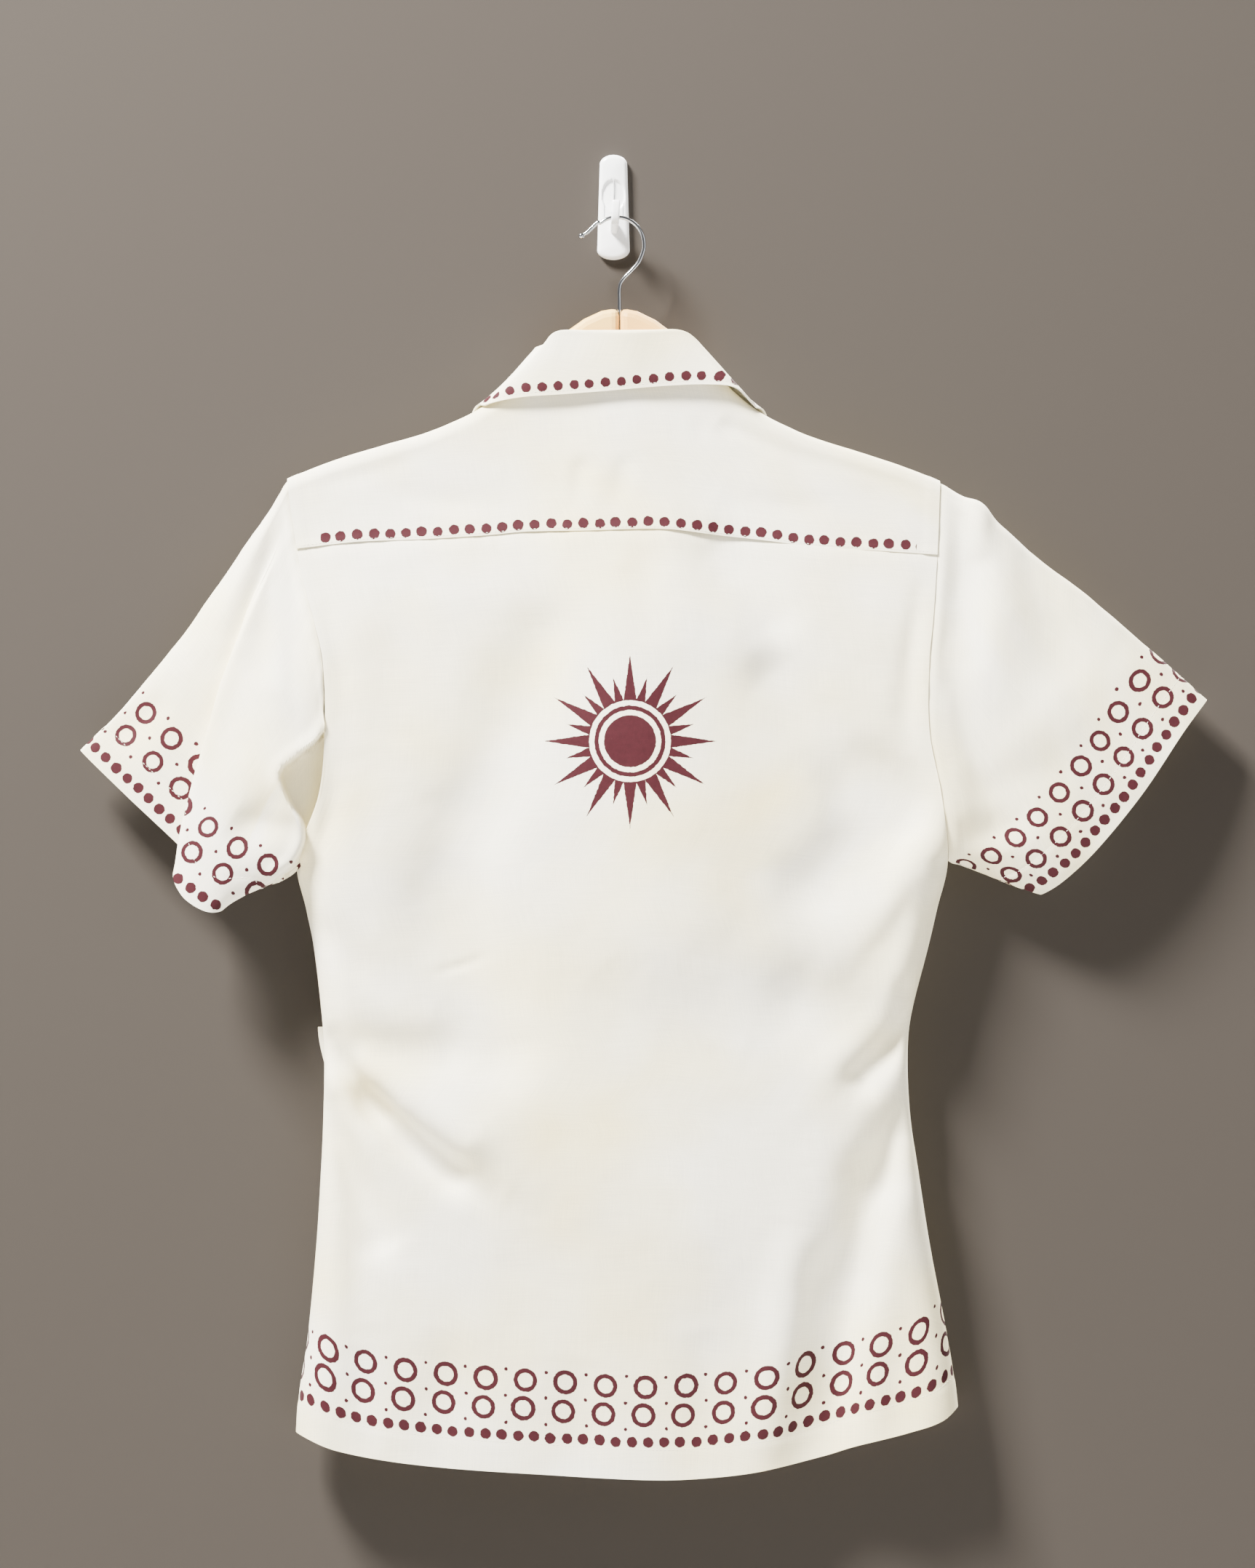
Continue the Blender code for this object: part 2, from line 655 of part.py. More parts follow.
def make_pocket(finish, group):
    corner_x, corner_z = POCKET_CORNER

    def place(a, b):
        outer = mix(corner_x, corner_x + POCKET_EDGE_TURN, ease(b * 3))
        x = mix(outer, POCKET_INNER_X, a)
        z = mix(mix(corner_z, POCKET_TOP_Z, ease(a * 6)), POCKET_TOP_Z - POCKET_DEEP, b)
        rest = max(x, edge_x(-1, z) + SIDE_ROUND)
        return Vector((x, layer_y(1, rest, z) + POCKET_LIFT + POCKET_WALL, z))

    return cloth("pocket_left", place, [0, 0.1, 0.2, 0.35, 0.5, 0.65, 0.8, 1.0], even(8), finish, group,
                 turn=-1, wall=POCKET_WALL)


def turned(name, profile, finish, group, steps=20):
    """A turned shape round its own Z: the profile runs down the outer side, as (radius, height)."""
    mesh = bpy.data.meshes.new(name)
    bm = bmesh.new()
    verts = [bm.verts.new((r * MM, 0, z * MM)) for r, z in profile]
    for first, second in zip(verts, verts[1:]):
        bm.edges.new((first, second))
    bm.to_mesh(mesh)
    bm.free()
    made = bpy.data.objects.new(name, mesh)
    made.data.materials.append(finish)
    group.objects.link(made)
    screw = made.modifiers.new("Turn", "SCREW")
    screw.axis = "Z"
    screw.steps = screw.render_steps = steps
    screw.use_merge_vertices = True
    screw.merge_threshold = 1e-5
    screw.use_smooth_shade = True
    return made


def make_buttons(finish, group):
    for number in range(BUTTON_COUNT):
        z = BUTTON_TOP_Z - number * BUTTON_PITCH
        side_line = [(BUTTON_RADIUS - inset, share * BUTTON_THICK) for inset, share in BUTTON_LINE]
        profile = [(0.0, BUTTON_THICK)] + side_line + [(0.0, 0.0)]
        made = turned(f"button_{number + 1}", profile, finish, group, steps=14)
        made.rotation_euler = (-math.pi / 2, 0, 0)
        y = layer_y(1, CENTRE_X, z) + WALL + BUTTON_CLEAR
        made.location = Vector((CENTRE_X, y, z)) * MM


def solid_from_outline(name, outline, thick, finish, group, bevel=0.0, segments=2):
    """A flat outline in X and Z, given a thickness along Y that is centred on the object."""
    curve = bpy.data.curves.new(name, "CURVE")
    curve.dimensions = "2D"
    curve.fill_mode = "BOTH"
    curve.extrude = thick / 2 * MM
    spline = curve.splines.new("POLY")
    spline.points.add(len(outline) - 1)
    for point, (x, z) in zip(spline.points, outline):
        point.co = (x * MM, z * MM, 0, 1)
    spline.use_cyclic_u = True
    shape = bpy.data.objects.new(name + "_outline", curve)
    shape.rotation_euler = (math.pi / 2, 0, 0)
    group.objects.link(shape)
    bpy.context.view_layer.update()
    graph = bpy.context.evaluated_depsgraph_get()
    mesh = bpy.data.meshes.new_from_object(shape.evaluated_get(graph))
    mesh.name = name
    bm = bmesh.new()
    bm.from_mesh(mesh)
    bmesh.ops.remove_doubles(bm, verts=bm.verts, dist=0.01 * MM)
    bmesh.ops.transform(bm, matrix=shape.matrix_world, verts=bm.verts)
    bmesh.ops.dissolve_limit(bm, angle_limit=math.radians(0.5), verts=bm.verts, edges=bm.edges)
    bmesh.ops.recalc_face_normals(bm, faces=bm.faces)
    bm.to_mesh(mesh)
    bm.free()
    bpy.data.objects.remove(shape, do_unlink=True)
    mesh.materials.clear()
    made = make_object(name, mesh, finish, group)
    if bevel:
        soften = made.modifiers.new("Soft edges", "BEVEL")
        soften.width = bevel * MM
        soften.segments = segments
        soften.limit_method = "ANGLE"
        soften.angle_limit = math.radians(60)
    return made


def make_hanger(finish, group, cutters):
    """Two halves of wood that meet at the middle, with a hole there for the wire."""
    bm = bmesh.new()
    bmesh.ops.create_cone(bm, cap_ends=True, segments=12, radius1=(WIRE_RADIUS + HOLE_CLEAR) * MM,
                          radius2=(WIRE_RADIUS + HOLE_CLEAR) * MM, depth=60 * MM)
    mesh = bpy.data.meshes.new("wire_hole")
    bm.to_mesh(mesh)
    bm.free()
    hole = bpy.data.objects.new("wire_hole", mesh)
    hole.location = Vector((WIRE_NECK[-1][0], MID_Y, WIRE_FOOT_Z + 30 - HOLE_CLEAR)) * MM
    hole.display_type = "WIRE"
    hole.hide_render = True
    cutters.objects.link(hole)
    outs = [0, 12, 24, 34, 44, 54, 64, 74, 84, 96, 110, 130, 160, 190]
    for name, side in (("hanger_left", -1), ("hanger_right", 1)):
        join = HANGER_X + side * GAP / 2
        top = [(join + side * out, wood_top(join + side * out)) for out in outs]
        end_x = HANGER_X + side * HANGER_HALF_WIDTH
        tip = [(end_x - side * inset, hanger_top(end_x - side * (inset if drop == 0 else 0)) - drop)
               for inset, drop in HANGER_TIP]
        under = [(join + side * out, hanger_top(join + side * out)
                  - mix(HANGER_MIDDLE_DEEP, HANGER_END_DEEP, out / HANGER_HALF_WIDTH))
                 for out in (180, 140, 110, 84, 60, 36, 16, 0)]
        outline = top + tip + under
        made = solid_from_outline(name, outline, HANGER_THICK, finish, group, HANGER_ROUND, 3)
        made.location = Vector((0, MID_Y, 0)) * MM
        cut = made.modifiers.new("Hole for the wire", "BOOLEAN")
        cut.object = hole
        cut.operation = "DIFFERENCE"


def make_wire(finish, group):
    centre_x, centre_z = WIRE_ROUND
    turns = [math.radians(mix(*WIRE_ARC, i / WIRE_ARC_STEPS)) for i in range(WIRE_ARC_STEPS + 1)]
    arc = [(centre_x + WIRE_ROUND_RADIUS * math.cos(turn), centre_z + WIRE_ROUND_RADIUS * math.sin(turn))
           for turn in turns]
    foot = [(WIRE_NECK[-1][0], WIRE_FOOT_Z)]
    line = WIRE_TIP + arc + WIRE_NECK + foot
    curve = bpy.data.curves.new("hanger_wire", "CURVE")
    curve.dimensions = "3D"
    curve.bevel_depth = WIRE_RADIUS * MM
    curve.bevel_resolution = 2
    curve.use_fill_caps = True
    curve.render_resolution_u = 0
    spline = curve.splines.new("POLY")
    spline.points.add(len(line) - 1)
    for point, (x, z) in zip(spline.points, line):
        point.co = (x * MM, MID_Y * MM, z * MM, 1)
    spline.points[0].radius = WIRE_TIP_SWELL
    made = bpy.data.objects.new("hanger_wire", curve)
    made.data.materials.append(finish)
    group.objects.link(made)


def make_wall_hook(finish, group, cutters):
    """Wall plate with rounded ends, and the tongue that the wire hangs in."""
    high = PLATE_HIGH / 2
    top_r, low_r = PLATE_NARROW / 2, PLATE_WIDE / 2
    upper = [(top_r * math.cos(math.radians(a)), high - PLATE_END_ROUND * (1 - math.sin(math.radians(a))))
             for a in range(0, 181, 30)]
    lower = [(low_r * math.cos(math.radians(a)), PLATE_END_ROUND * (1 + math.sin(math.radians(a))) - high)
             for a in range(180, 361, 30)]
    plate = solid_from_outline("wall_hook", upper + lower, PLATE_THICK, finish, group, PLATE_BEVEL)
    plate.location = Vector((0, -PLATE_THICK / 2, 0)) * MM
    tongue = solid_from_outline("hook_tongue", TONGUE, TONGUE_WIDE, finish, cutters, TONGUE_BEVEL)
    tongue.rotation_euler = (0, 0, math.pi / 2)
    tongue.location = Vector((TONGUE_X, 0, 0)) * MM
    tongue.display_type = "WIRE"
    tongue.hide_render = True
    join = plate.modifiers.new("Tongue", "BOOLEAN")
    join.object = tongue
    join.operation = "UNION"


def main():
    clear_scene()
    group = collection_for("sun_shirt")
    cutters = collection_for("cutters")
    cotton = material("cotton", COTTON, 0.85)
    wood = material("wood", WOOD, 0.4)
    chrome = material("chrome", CHROME, 0.15, 1.0)
    plastic = material("plastic", PLASTIC, 0.3)
    shell = material("shell", SHELL, 0.3)
    make_back(cotton, group)
    make_yoke(cotton, group)
    make_front("front_left", -1, cotton, group)
    make_front("front_right", 1, cotton, group)
    make_sleeve("sleeve_left", -1, LEFT_SLEEVE, 3, cotton, group)
    make_sleeve("sleeve_right", 1, RIGHT_SLEEVE, 4, cotton, group)
    make_collar(cotton, group)
    make_pocket(cotton, group)
    make_buttons(shell, group)
    make_hanger(wood, group, cutters)
    make_wire(chrome, group)
    make_wall_hook(plastic, group, cutters)


main()
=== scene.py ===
"""Sun shirt, dressed: thin printed cotton with its seams, and its buttons, hanger and wall hook.

The tables and shapes are in millimetres, as in the part, and become metres where a mesh is made. The
origin is the middle of the wall hook's back face. +Z is up, +Y goes into the wall, and the shirt's
back faces -Y. The wearer's left is at -X.
"""

import math
from collections import namedtuple

import bmesh
import bpy
import numpy as np
from bpy.props import FloatProperty, FloatVectorProperty, PointerProperty
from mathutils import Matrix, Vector, noise


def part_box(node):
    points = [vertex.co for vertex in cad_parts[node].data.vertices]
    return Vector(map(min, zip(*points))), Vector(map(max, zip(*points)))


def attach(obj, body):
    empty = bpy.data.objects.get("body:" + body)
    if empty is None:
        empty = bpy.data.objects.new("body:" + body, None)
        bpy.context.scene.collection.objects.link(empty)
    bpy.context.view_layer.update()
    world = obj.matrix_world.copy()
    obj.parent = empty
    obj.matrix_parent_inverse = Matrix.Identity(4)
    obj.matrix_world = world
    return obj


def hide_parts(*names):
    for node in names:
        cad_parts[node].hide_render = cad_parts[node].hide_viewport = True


bl_info = {
    "name": "Sun Shirt",
    "version": (1, 0, 0),
    "blender": (4, 5, 0),
    "location": "View3D > Sidebar > Sun Shirt",
    "description": "Dresses a packed shirt on a hanger: thin printed cotton, buttons, hanger and wall hook",
    "category": "Object",
}

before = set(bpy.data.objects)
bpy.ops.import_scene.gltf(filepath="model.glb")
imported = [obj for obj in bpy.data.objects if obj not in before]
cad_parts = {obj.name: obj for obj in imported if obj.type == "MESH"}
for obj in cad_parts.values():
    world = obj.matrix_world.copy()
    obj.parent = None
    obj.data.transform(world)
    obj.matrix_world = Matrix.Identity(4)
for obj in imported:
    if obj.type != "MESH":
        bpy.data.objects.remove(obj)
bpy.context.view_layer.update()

MM = 0.001
TO_MM = 1000
BODY = "root"

# Part: the same named sizes and tables as the solids
WALL = 1.5
MID_Y = -24.0
HANGER_X = 4.2
HANGER_THICK = 11.0
HANGER_TILT = 0.012
HANGER_CLEAR = 0.6
HANGER_SIDE_CLEAR = 1.3
CREST_RADIUS = HANGER_THICK / 2 + HANGER_SIDE_CLEAR + WALL
CREST_EASE = 110.0
UNDERARM_Z = -446.0
UNDERARM_ROUND = 60.0
SIDE_ROUND = 22.0
BODY_WIDE = 430.0
FRONT_SEAM_DROP = 10.0
NECK_BACK_Z = -112.0
NECK_FRONT_Z = -198.0
NECK_HALF = 63.0
NECK_TURN = 17.0
NECK_CURVE = 1.5
NECK_FOOT_DROP = 4.0
COLLAR_ROLL = 2.6
COLLAR_STITCH = 2.4
STAND_LIFT = 0.9
ROLL_LIFT = 5.0
FALL_LIFT = 3.0
CENTRE_X = 4.0
OVERLAP = 14.0
OVERLAP_START_X = -50.0
OVERLAP_EASE = 40.0
OVERLAP_MARGIN = 3.0
OVERLAP_GAP = 0.3
FACING = 30.0
BUTTON_TOP_Z = -222.0
BUTTON_PITCH = 96.0
BUTTON_COUNT = 6
POCKET_TOP_Z = -556.0
POCKET_DEEP = 150.0
POCKET_INNER_X = -72.0
POCKET_CORNER = (-201.0, -558.5)
POCKET_LIFT = 2.0
POCKET_EDGE_TURN = 9.0
POCKET_STITCH = 2.2
POCKET_HEM = 26.0
WIRE_RADIUS = 1.3
WIRE_TIP_SWELL = 2.0

# First guesses of the panels' left and right edges, before they are moved onto the outline
BACK_GUESS = (-215.0, 222.0)
FRONT_GUESS = 218.0
YOKE_GUESS = (-216.0, 219.5)

# Shares of the way over a piece: where the yoke's crest starts and stops, and where the collar's stand
# and its roll end
YOKE_CREST_START = 0.5
YOKE_CREST_STOP = 0.9
STAND_SHARE = 0.3
ROLL_SHARE = 0.55

# Wall hook: plate, thumb scoop, slots, and the tongue's depth, height and thickness from the plate out
PLATE_HIGH = 71.5
PLATE_WIDE = 22.0
PLATE_NARROW = 18.6
PLATE_END_ROUND = 6.5
SCOOP_TOP = 19.4
SCOOP_HALF_WIDE = 8.4
SCOOP_HALF_HIGH = 11.4
SCOOP_DEEP = 1.7
SLOT_PLACES = (-6.1, 6.6)
SLOT_HALF_WIDE = 0.3
SLOT_HALF_HIGH = 4.8
SLOT_MIDDLE_Z = -2.2
TONGUE_WIDE = 5.4
TONGUE_X = 1.9
TONGUE = [
    (-4.6, -14.2, 8.6), (-8.0, -13.8, 7.4), (-13.0, -13.0, 5.6), (-19.0, -12.1, 3.8), (-23.6, -11.6, 3.2),
    (-26.6, -9.6, 3.0), (-27.8, -6.0, 2.9), (-27.9, -1.6, 2.7), (-27.6, 3.2, 2.4),
]

HANGER_TOP = [
    (0, -70.0), (12, -72.0), (24, -77.6), (36, -86.2), (48, -98.0), (60, -111.0), (72, -123.4),
    (84, -134.0), (96, -142.4), (110, -149.6), (130, -158.0), (160, -167.2), (190, -176.6),
    (212, -185.2), (240, -198.0),
]

Section = namedtuple("Section", "z left right back front")
SECTIONS = [Section(*row) for row in (
    (-865, -216.0, 236.0, 19.0, 17.0),
    (-833, -215.0, 234.5, 19.0, 17.0),
    (-805, -213.0, 232.4, 19.0, 17.0),
    (-770, -207.6, 227.0, 19.5, 17.0),
    (-706, -201.5, 214.8, 20.5, 16.8),
    (-653, -198.2, 206.5, 21.5, 16.6),
    (-618, -196.7, 201.4, 22.5, 16.4),
    (-580, -196.1, 199.6, 23.5, 16.2),
    (-552, -197.6, 201.6, 24.0, 16.0),
    (-502, -203.5, 214.0, 24.5, 15.6),
    (-478, -208.4, 219.6, 24.5, 15.4),
    (-446, -214.5, 226.8, 24.0, 15.0),
    (-400, -199.0, 221.6, 23.5, 14.4),
    (-357, -195.0, 213.6, 22.5, 13.8),
    (-310, -196.4, 213.6, 21.0, 13.0),
    (-281, -203.0, 216.4, 19.5, 12.4),
    (-250, -211.4, 218.6, 17.5, 11.6),
    (-222, -216.4, 220.2, 15.5, 11.0),
    (-185, -221.0, 221.4, 12.5, 10.0),
    (-110, -224.0, 224.0, 11.0, 9.0),
)]

HEM = [
    (-216, -832.0), (-187, -844.0), (-130, -853.8), (-48, -860.0), (28, -863.8), (66, -862.2),
    (98, -858.3), (130, -851.4), (160, -842.0), (200, -831.7), (223, -823.8), (235, -814.0),
]
YOKE_SEAM = [
    (-216, -233.8), (-174, -229.0), (-130, -227.3), (-86, -224.6), (-60, -222.2), (-20, -221.5),
    (34, -220.4), (67, -224.0), (106, -228.5), (138, -232.6), (185, -235.4), (218, -237.6),
]
FRONT_HEM_LIFT = 5.0
FRONT_HEM_HALF = 235.0
HEM_PUCKERS_UP = 21.0

Fold = namedtuple("Fold", "x1 z1 x2 z2 wide high")
BACK_FOLDS = [Fold(*row) for row in (
    (-192, -570, -160, -610, 11, -4.5),
    (-160, -610, -110, -652, 14, -4.0),
    (-168, -585, -100, -635, 16, 3.0),
    (-192, -614, -160, -700, 13, -3.0),
    (-112, -470, -80, -570, 30, -4.0),
    (-115, -574, -170, -575, 18, -3.0),
    (201, -541, 168, -590, 12, -4.5),
    (130, -540, 175, -560, 26, -4.5),
    (196, -606, 175, -660, 15, -3.5),
    (175, -660, 150, -735, 20, -3.5),
    (150, -735, 124, -850, 22, -4.0),
    (110, -322, 168, -390, 20, -4.0),
    (168, -390, 190, -410, 22, -4.5),
    (190, -410, 138, -462, 24, -4.5),
    (76, -236, 106, -280, 18, -2.5),
    (-48, -295, -96, -416, 26, -2.5),
    (-96, -416, -118, -490, 26, -2.5),
    (-60, -620, 40, -700, 60, 3.0),
    (20, -300, 30, -480, 60, 3.5),
    (-118, -160, -194, -184, 10, -1.6),
    (66, -150, 126, -170, 12, -1.6),
    (126, -170, 200, -190, 12, -1.8),
)]
FRONT_FOLDS = [Fold(*row) for row in (
    (-150, -560, -60, -640, 24, 3.0),
    (160, -540, 60, -640, 26, 3.0),
    (-120, -260, -150, -420, 24, 2.5),
    (110, -250, 150, -430, 24, 2.5),
    (-90, -700, -110, -850, 22, 2.5),
    (100, -690, 128, -840, 24, 2.5),
)]

Line = namedtuple("Line", "arm x y z bow_x bow_y bow_z")
RIGHT_SLEEVE = [Line(*row) for row in (
    (0.00, 402.5, -25, -336.0, 0, 0, 4.0),
    (0.12, 386.0, -35, -358.0, 0, -2, 0),
    (0.23, 358.0, -40, -399.5, 0, -3, 0),
    (0.35, 327.0, -40, -437.5, 0, -2, 0),
    (0.44, 303.0, -36, -460.0, 0, 0, 0),
    (0.50, 289.8, -27, -467.0, 0, 0, 0),
    (0.60, 318.0, -15, -444.0, 0, 1, 0),
    (0.76, 354.0, -12, -399.0, 0, 2, 0),
    (0.90, 388.0, -15, -352.0, 0, 1, 2.0),
)]
LEFT_SLEEVE = [Line(*row) for row in (
    (0.00, -360.6, -24, -371.2, 0, 0, -12.0),
    (0.05, -330.0, -30, -401.0, -4, -2, -6),
    (0.085, -290.0, -32, -439.0, -10, -2, 0),
    (0.10, -288.0, -41, -446.0, -12, -2, 0),
    (0.12, -297.0, -52, -454.0, -11, -4, 0),
    (0.16, -290.5, -58, -468.5, -10, -5, 0),
    (0.21, -278.0, -60, -477.5, -6, -8, 0),
    (0.26, -268.0, -58, -479.5, 4, -9, -4),
    (0.31, -262.0, -51, -475.0, 12, -8, -15),
    (0.37, -267.0, -43, -459.0, 17, -3, -22),
    (0.44, -277.0, -34, -441.0, 9, 0, -12),
    (0.52, -290.0, -26, -427.0, 0, 0, 0),
    (0.62, -303.0, -20, -412.0, 0, 0, 0),
    (0.78, -325.0, -15, -393.0, 0, 1, -6),
    (0.93, -350.0, -18, -378.0, 0, 1, -10),
)]

# The cuff of the folded part of the left sleeve, carried on to where the cloth turns under, and the edge
# at which that part stands away from the armhole: places across and heights
FOLDED_CUFF = [
    (-320.6, -447.5), (-305.0, -460.0), (-284.4, -474.2), (-262.9, -487.0), (-240.6, -498.4),
    (-217.7, -508.3), (-194.2, -516.7),
]
FOLDED_EDGE = [
    (-190.0, -350.0), (-200.2, -363.9), (-213.0, -374.0), (-225.0, -385.5), (-219.4, -404.2),
    (-211.0, -418.0), (-208.6, -427.3), (-210.0, -435.2), (-216.0, -446.0), (-226.0, -454.0),
]
FOLDED_PRINT = (25.2, 27.4, 144.3)
FOLDED_SHARES = (0.11, 0.345)

CollarRow = namedtuple("CollarRow", "neck roll edge")
COLLAR = [CollarRow(*row) for row in (
    ((-4, -11, -200), (-6, -10, -191), (-56, -8, -220)),
    ((-36, -12, -176), (-29, -12, -163), (-84, -9, -189)),
    ((-57, -13, -150), (-47, -14, -135), (-97, -11, -164)),
    ((-64, -17, -128), (-52, -18, -111), (-97, -17, -147)),
    ((-62, -24, -116), (-46, -25, -102), (-92, -25, -139)),
    ((-56, -31, -112), (-41, -32, -95), (-84, -34, -135)),
    ((-38, -34, -112), (-34, -36, -86.5), (-62, -38, -131)),
    ((-16, -34, -112), (-15, -37, -85.8), (-32, -39, -129)),
    ((4, -34, -112), (4, -37, -85.6), (0, -39, -126.5)),
    ((26, -34, -112), (25, -37, -85.4), (34, -39, -123.6)),
    ((47, -34, -112), (42, -36, -86.0), (64, -40, -122.5)),
    ((64, -31, -112), (52, -32, -92), (84, -40, -125)),
    ((70, -24, -116), (57, -25, -99), (97, -30, -137)),
    ((72, -17, -128), (60, -18, -111), (105, -17, -147)),
    ((65, -13, -150), (55, -14, -135), (105, -11, -164)),
    ((44, -12, -176), (37, -12, -163), (92, -9, -189)),
    ((12, -11, -200), (14, -10, -191), (64, -8, -220)),
)]

WIRE_TIP = [(-21.8, -21.0), (-18.2, -18.9), (-14.8, -15.6), (-10.6, -11.7)]
WIRE_ROUND = (2.4, -26.9)
WIRE_ROUND_RADIUS = 18.6
WIRE_ARC = (128, -12)
WIRE_ARC_STEPS = 12
WIRE_NECK = [(17.6, -38.3), (12.4, -44.4), (7.4, -49.4), (4.7, -53.8), (4.0, -59.5), (4.1, -66.0)]
WIRE_FOOT_Z = -88.0

# Radius of a button's four holes and of the circle they lie on
HOLE_RADIUS = 0.55
HOLE_OUT = 1.45

# How much deeper the thin cloth's folds are than the solid's. The front's folds keep the solid's height,
# because the wall is close behind them. A fold goes in by this share of the body's depth at most.
FOLD_GAIN = 2.6
FRONT_FOLD_GAIN = 1.0
CREASE_GAIN = 2.2
INWARD_SHARE = 0.6

# Borders in millimetres: height of each row above the edge, where its first print is, and its sizes
Border = namedtuple(
    "Border",
    "dots dot_start dot_pitch dot_radius rings upper_rings ring_start upper_start ring_pitch ring_radius "
    "ring_line flecks_1 flecks_2 flecks_3 fleck_start fleck_radius")
BORDERS = {
    "hem": Border(25.3, 1.2, 11.0, 3.7, 43.6, 62.9, -1.9, 0.0, 27.1, 8.2,
                  3.1, 34.3, 51.8, 69.4, 13.5, 1.25),
    "left": Border(9.1, 5.0, 10.1, 3.7, 29.1, 49.4, 14.3, 12.9, 26.0, 7.8,
                   3.0, 20.8, 39.3, 58.0, 1.3, 1.3),
    "right": Border(9.2, 7.1, 10.3, 3.7, 24.8, 44.5, 19.1, 19.1, 24.0, 7.6,
                    3.0, 16.6, 35.2, 53.5, 7.1, 1.3),
}
DOT_ROWS = {
    "collar": {"row": 5.6, "pitch": 10.8, "start": 4.0, "radius": 3.3},
    "yoke": {"row": 4.9, "pitch": 10.95, "start": 20.0, "radius": 3.65, "from": 17.0, "to": 422.0},
}

# The print map of a cloth's inner side is moved up by this many metres, so that the ink is fainter there
INSIDE_SHIFT = 10.0

# Width in metres of the line of a ring, from which the borders' own widths are set off
RING_LINE = 0.0031

# Where the back's border is counted from, and its run from there to each side seam
HEM_PRINT_X = 22.1
LEFT_HEM_RUN = 249.0
RIGHT_HEM_RUN = 217.0

# Grid lines for each row of a sleeve's table, and the pitch, length and radius of a stitch
SLEEVE_ROUND = 16
STITCH_PITCH = 2.7
STITCH_LONG = 2.0
STITCH_RADIUS = 0.2

# Creases that only the thin cloth has: a bent line from 1 over 2 to 3, half width at its start, how
# many times wider its far side and its end are, and height (a trough is negative)
Crease = namedtuple("Crease", "x1 z1 x2 z2 x3 z3 wide far grow high")
BACK_CREASES = [Crease(*row) for row in (
    (-194, -568, -152, -644, -74, -680, 4.5, 2.2, 2.2, -2.6),
    (-190, -556, -140, -626, -60, -666, 8.0, 1.0, 1.8, 1.8),
    (-195, -611, -178, -662, -150, -712, 4.5, 1.6, 2.4, -2.2),
    (-193, -640, -176, -700, -166, -760, 6.0, 1.4, 2.0, -1.6),
    (-123, -521, -103, -517, -84, -509, 2.2, 1.0, 1.0, -0.7),
    (204, -538, 192, -566, 171, -592, 4.0, 2.2, 2.0, -2.8),
    (198, -528, 176, -566, 128, -600, 8.0, 1.0, 1.8, 1.6),
    (200, -602, 178, -655, 153, -738, 5.0, 1.6, 2.8, -2.4),
    (196, -625, 192, -690, 176, -770, 7.0, 1.2, 1.8, 1.4),
    (124, -690, 114, -770, 104, -880, 13.0, 1.0, 1.4, 3.2),
    (160, -690, 152, -790, 146, -880, 13.0, 1.0, 1.4, -3.0),
    (60, -760, 66, -810, 60, -864, 14.0, 1.2, 1.3, -1.4),
    (-20, -780, -26, -820, -22, -864, 18.0, 1.0, 1.3, -1.2),
    (-110, -760, -118, -810, -112, -858, 16.0, 1.1, 1.3, -1.3),
    (-170, -770, -174, -810, -166, -850, 10.0, 1.2, 1.2, -1.2),
    (188, -770, 192, -810, 196, -836, 9.0, 1.2, 1.3, -1.4),
    (212, -452, 190, -500, 150, -540, 7.0, 1.5, 2.0, -1.5),
    (214, -420, 196, -452, 170, -520, 8.0, 1.3, 1.8, 1.2),
    (-197, -356, -194, -410, -200, -452, 3.0, 3.0, 1.4, -1.6),
    (-204, -478, -176, -520, -120, -548, 7.0, 1.4, 2.2, -1.4),
    (-206, -250, -192, -300, -184, -372, 6.0, 1.5, 1.8, -1.2),
    (210, -252, 200, -310, 196, -376, 6.0, 1.5, 1.8, -1.3),
    (-150, -240, -140, -300, -150, -372, 16.0, 1.2, 1.5, -1.1),
    (20, -230, 24, -262, 16, -300, 10.0, 1.0, 1.5, -0.7),
    (-16, -520, 20, -560, 90, -576, 16.0, 1.4, 1.6, -1.2),
)]
YOKE_CREASES = [Crease(*row) for row in (
    (-119, -159, -160, -172, -205, -184, 5.0, 1.6, 1.3, -0.8),
    (42, -133, 84, -152, 150, -176, 5.0, 1.7, 1.5, -1.1),
    (120, -164, 168, -178, 212, -190, 5.0, 1.6, 1.2, -1.0),
    (-20, -150, -22, -180, -26, -214, 5.0, 1.3, 1.6, -0.7),
    (10, -146, 8, -176, 0, -212, 5.0, 1.3, 1.6, -0.6),
    (-150, -196, -100, -206, -60, -200, 8.0, 1.2, 1.4, -0.6),
    (150, -205, 110, -208, 70, -196, 8.0, 1.2, 1.4, -0.7),
)]
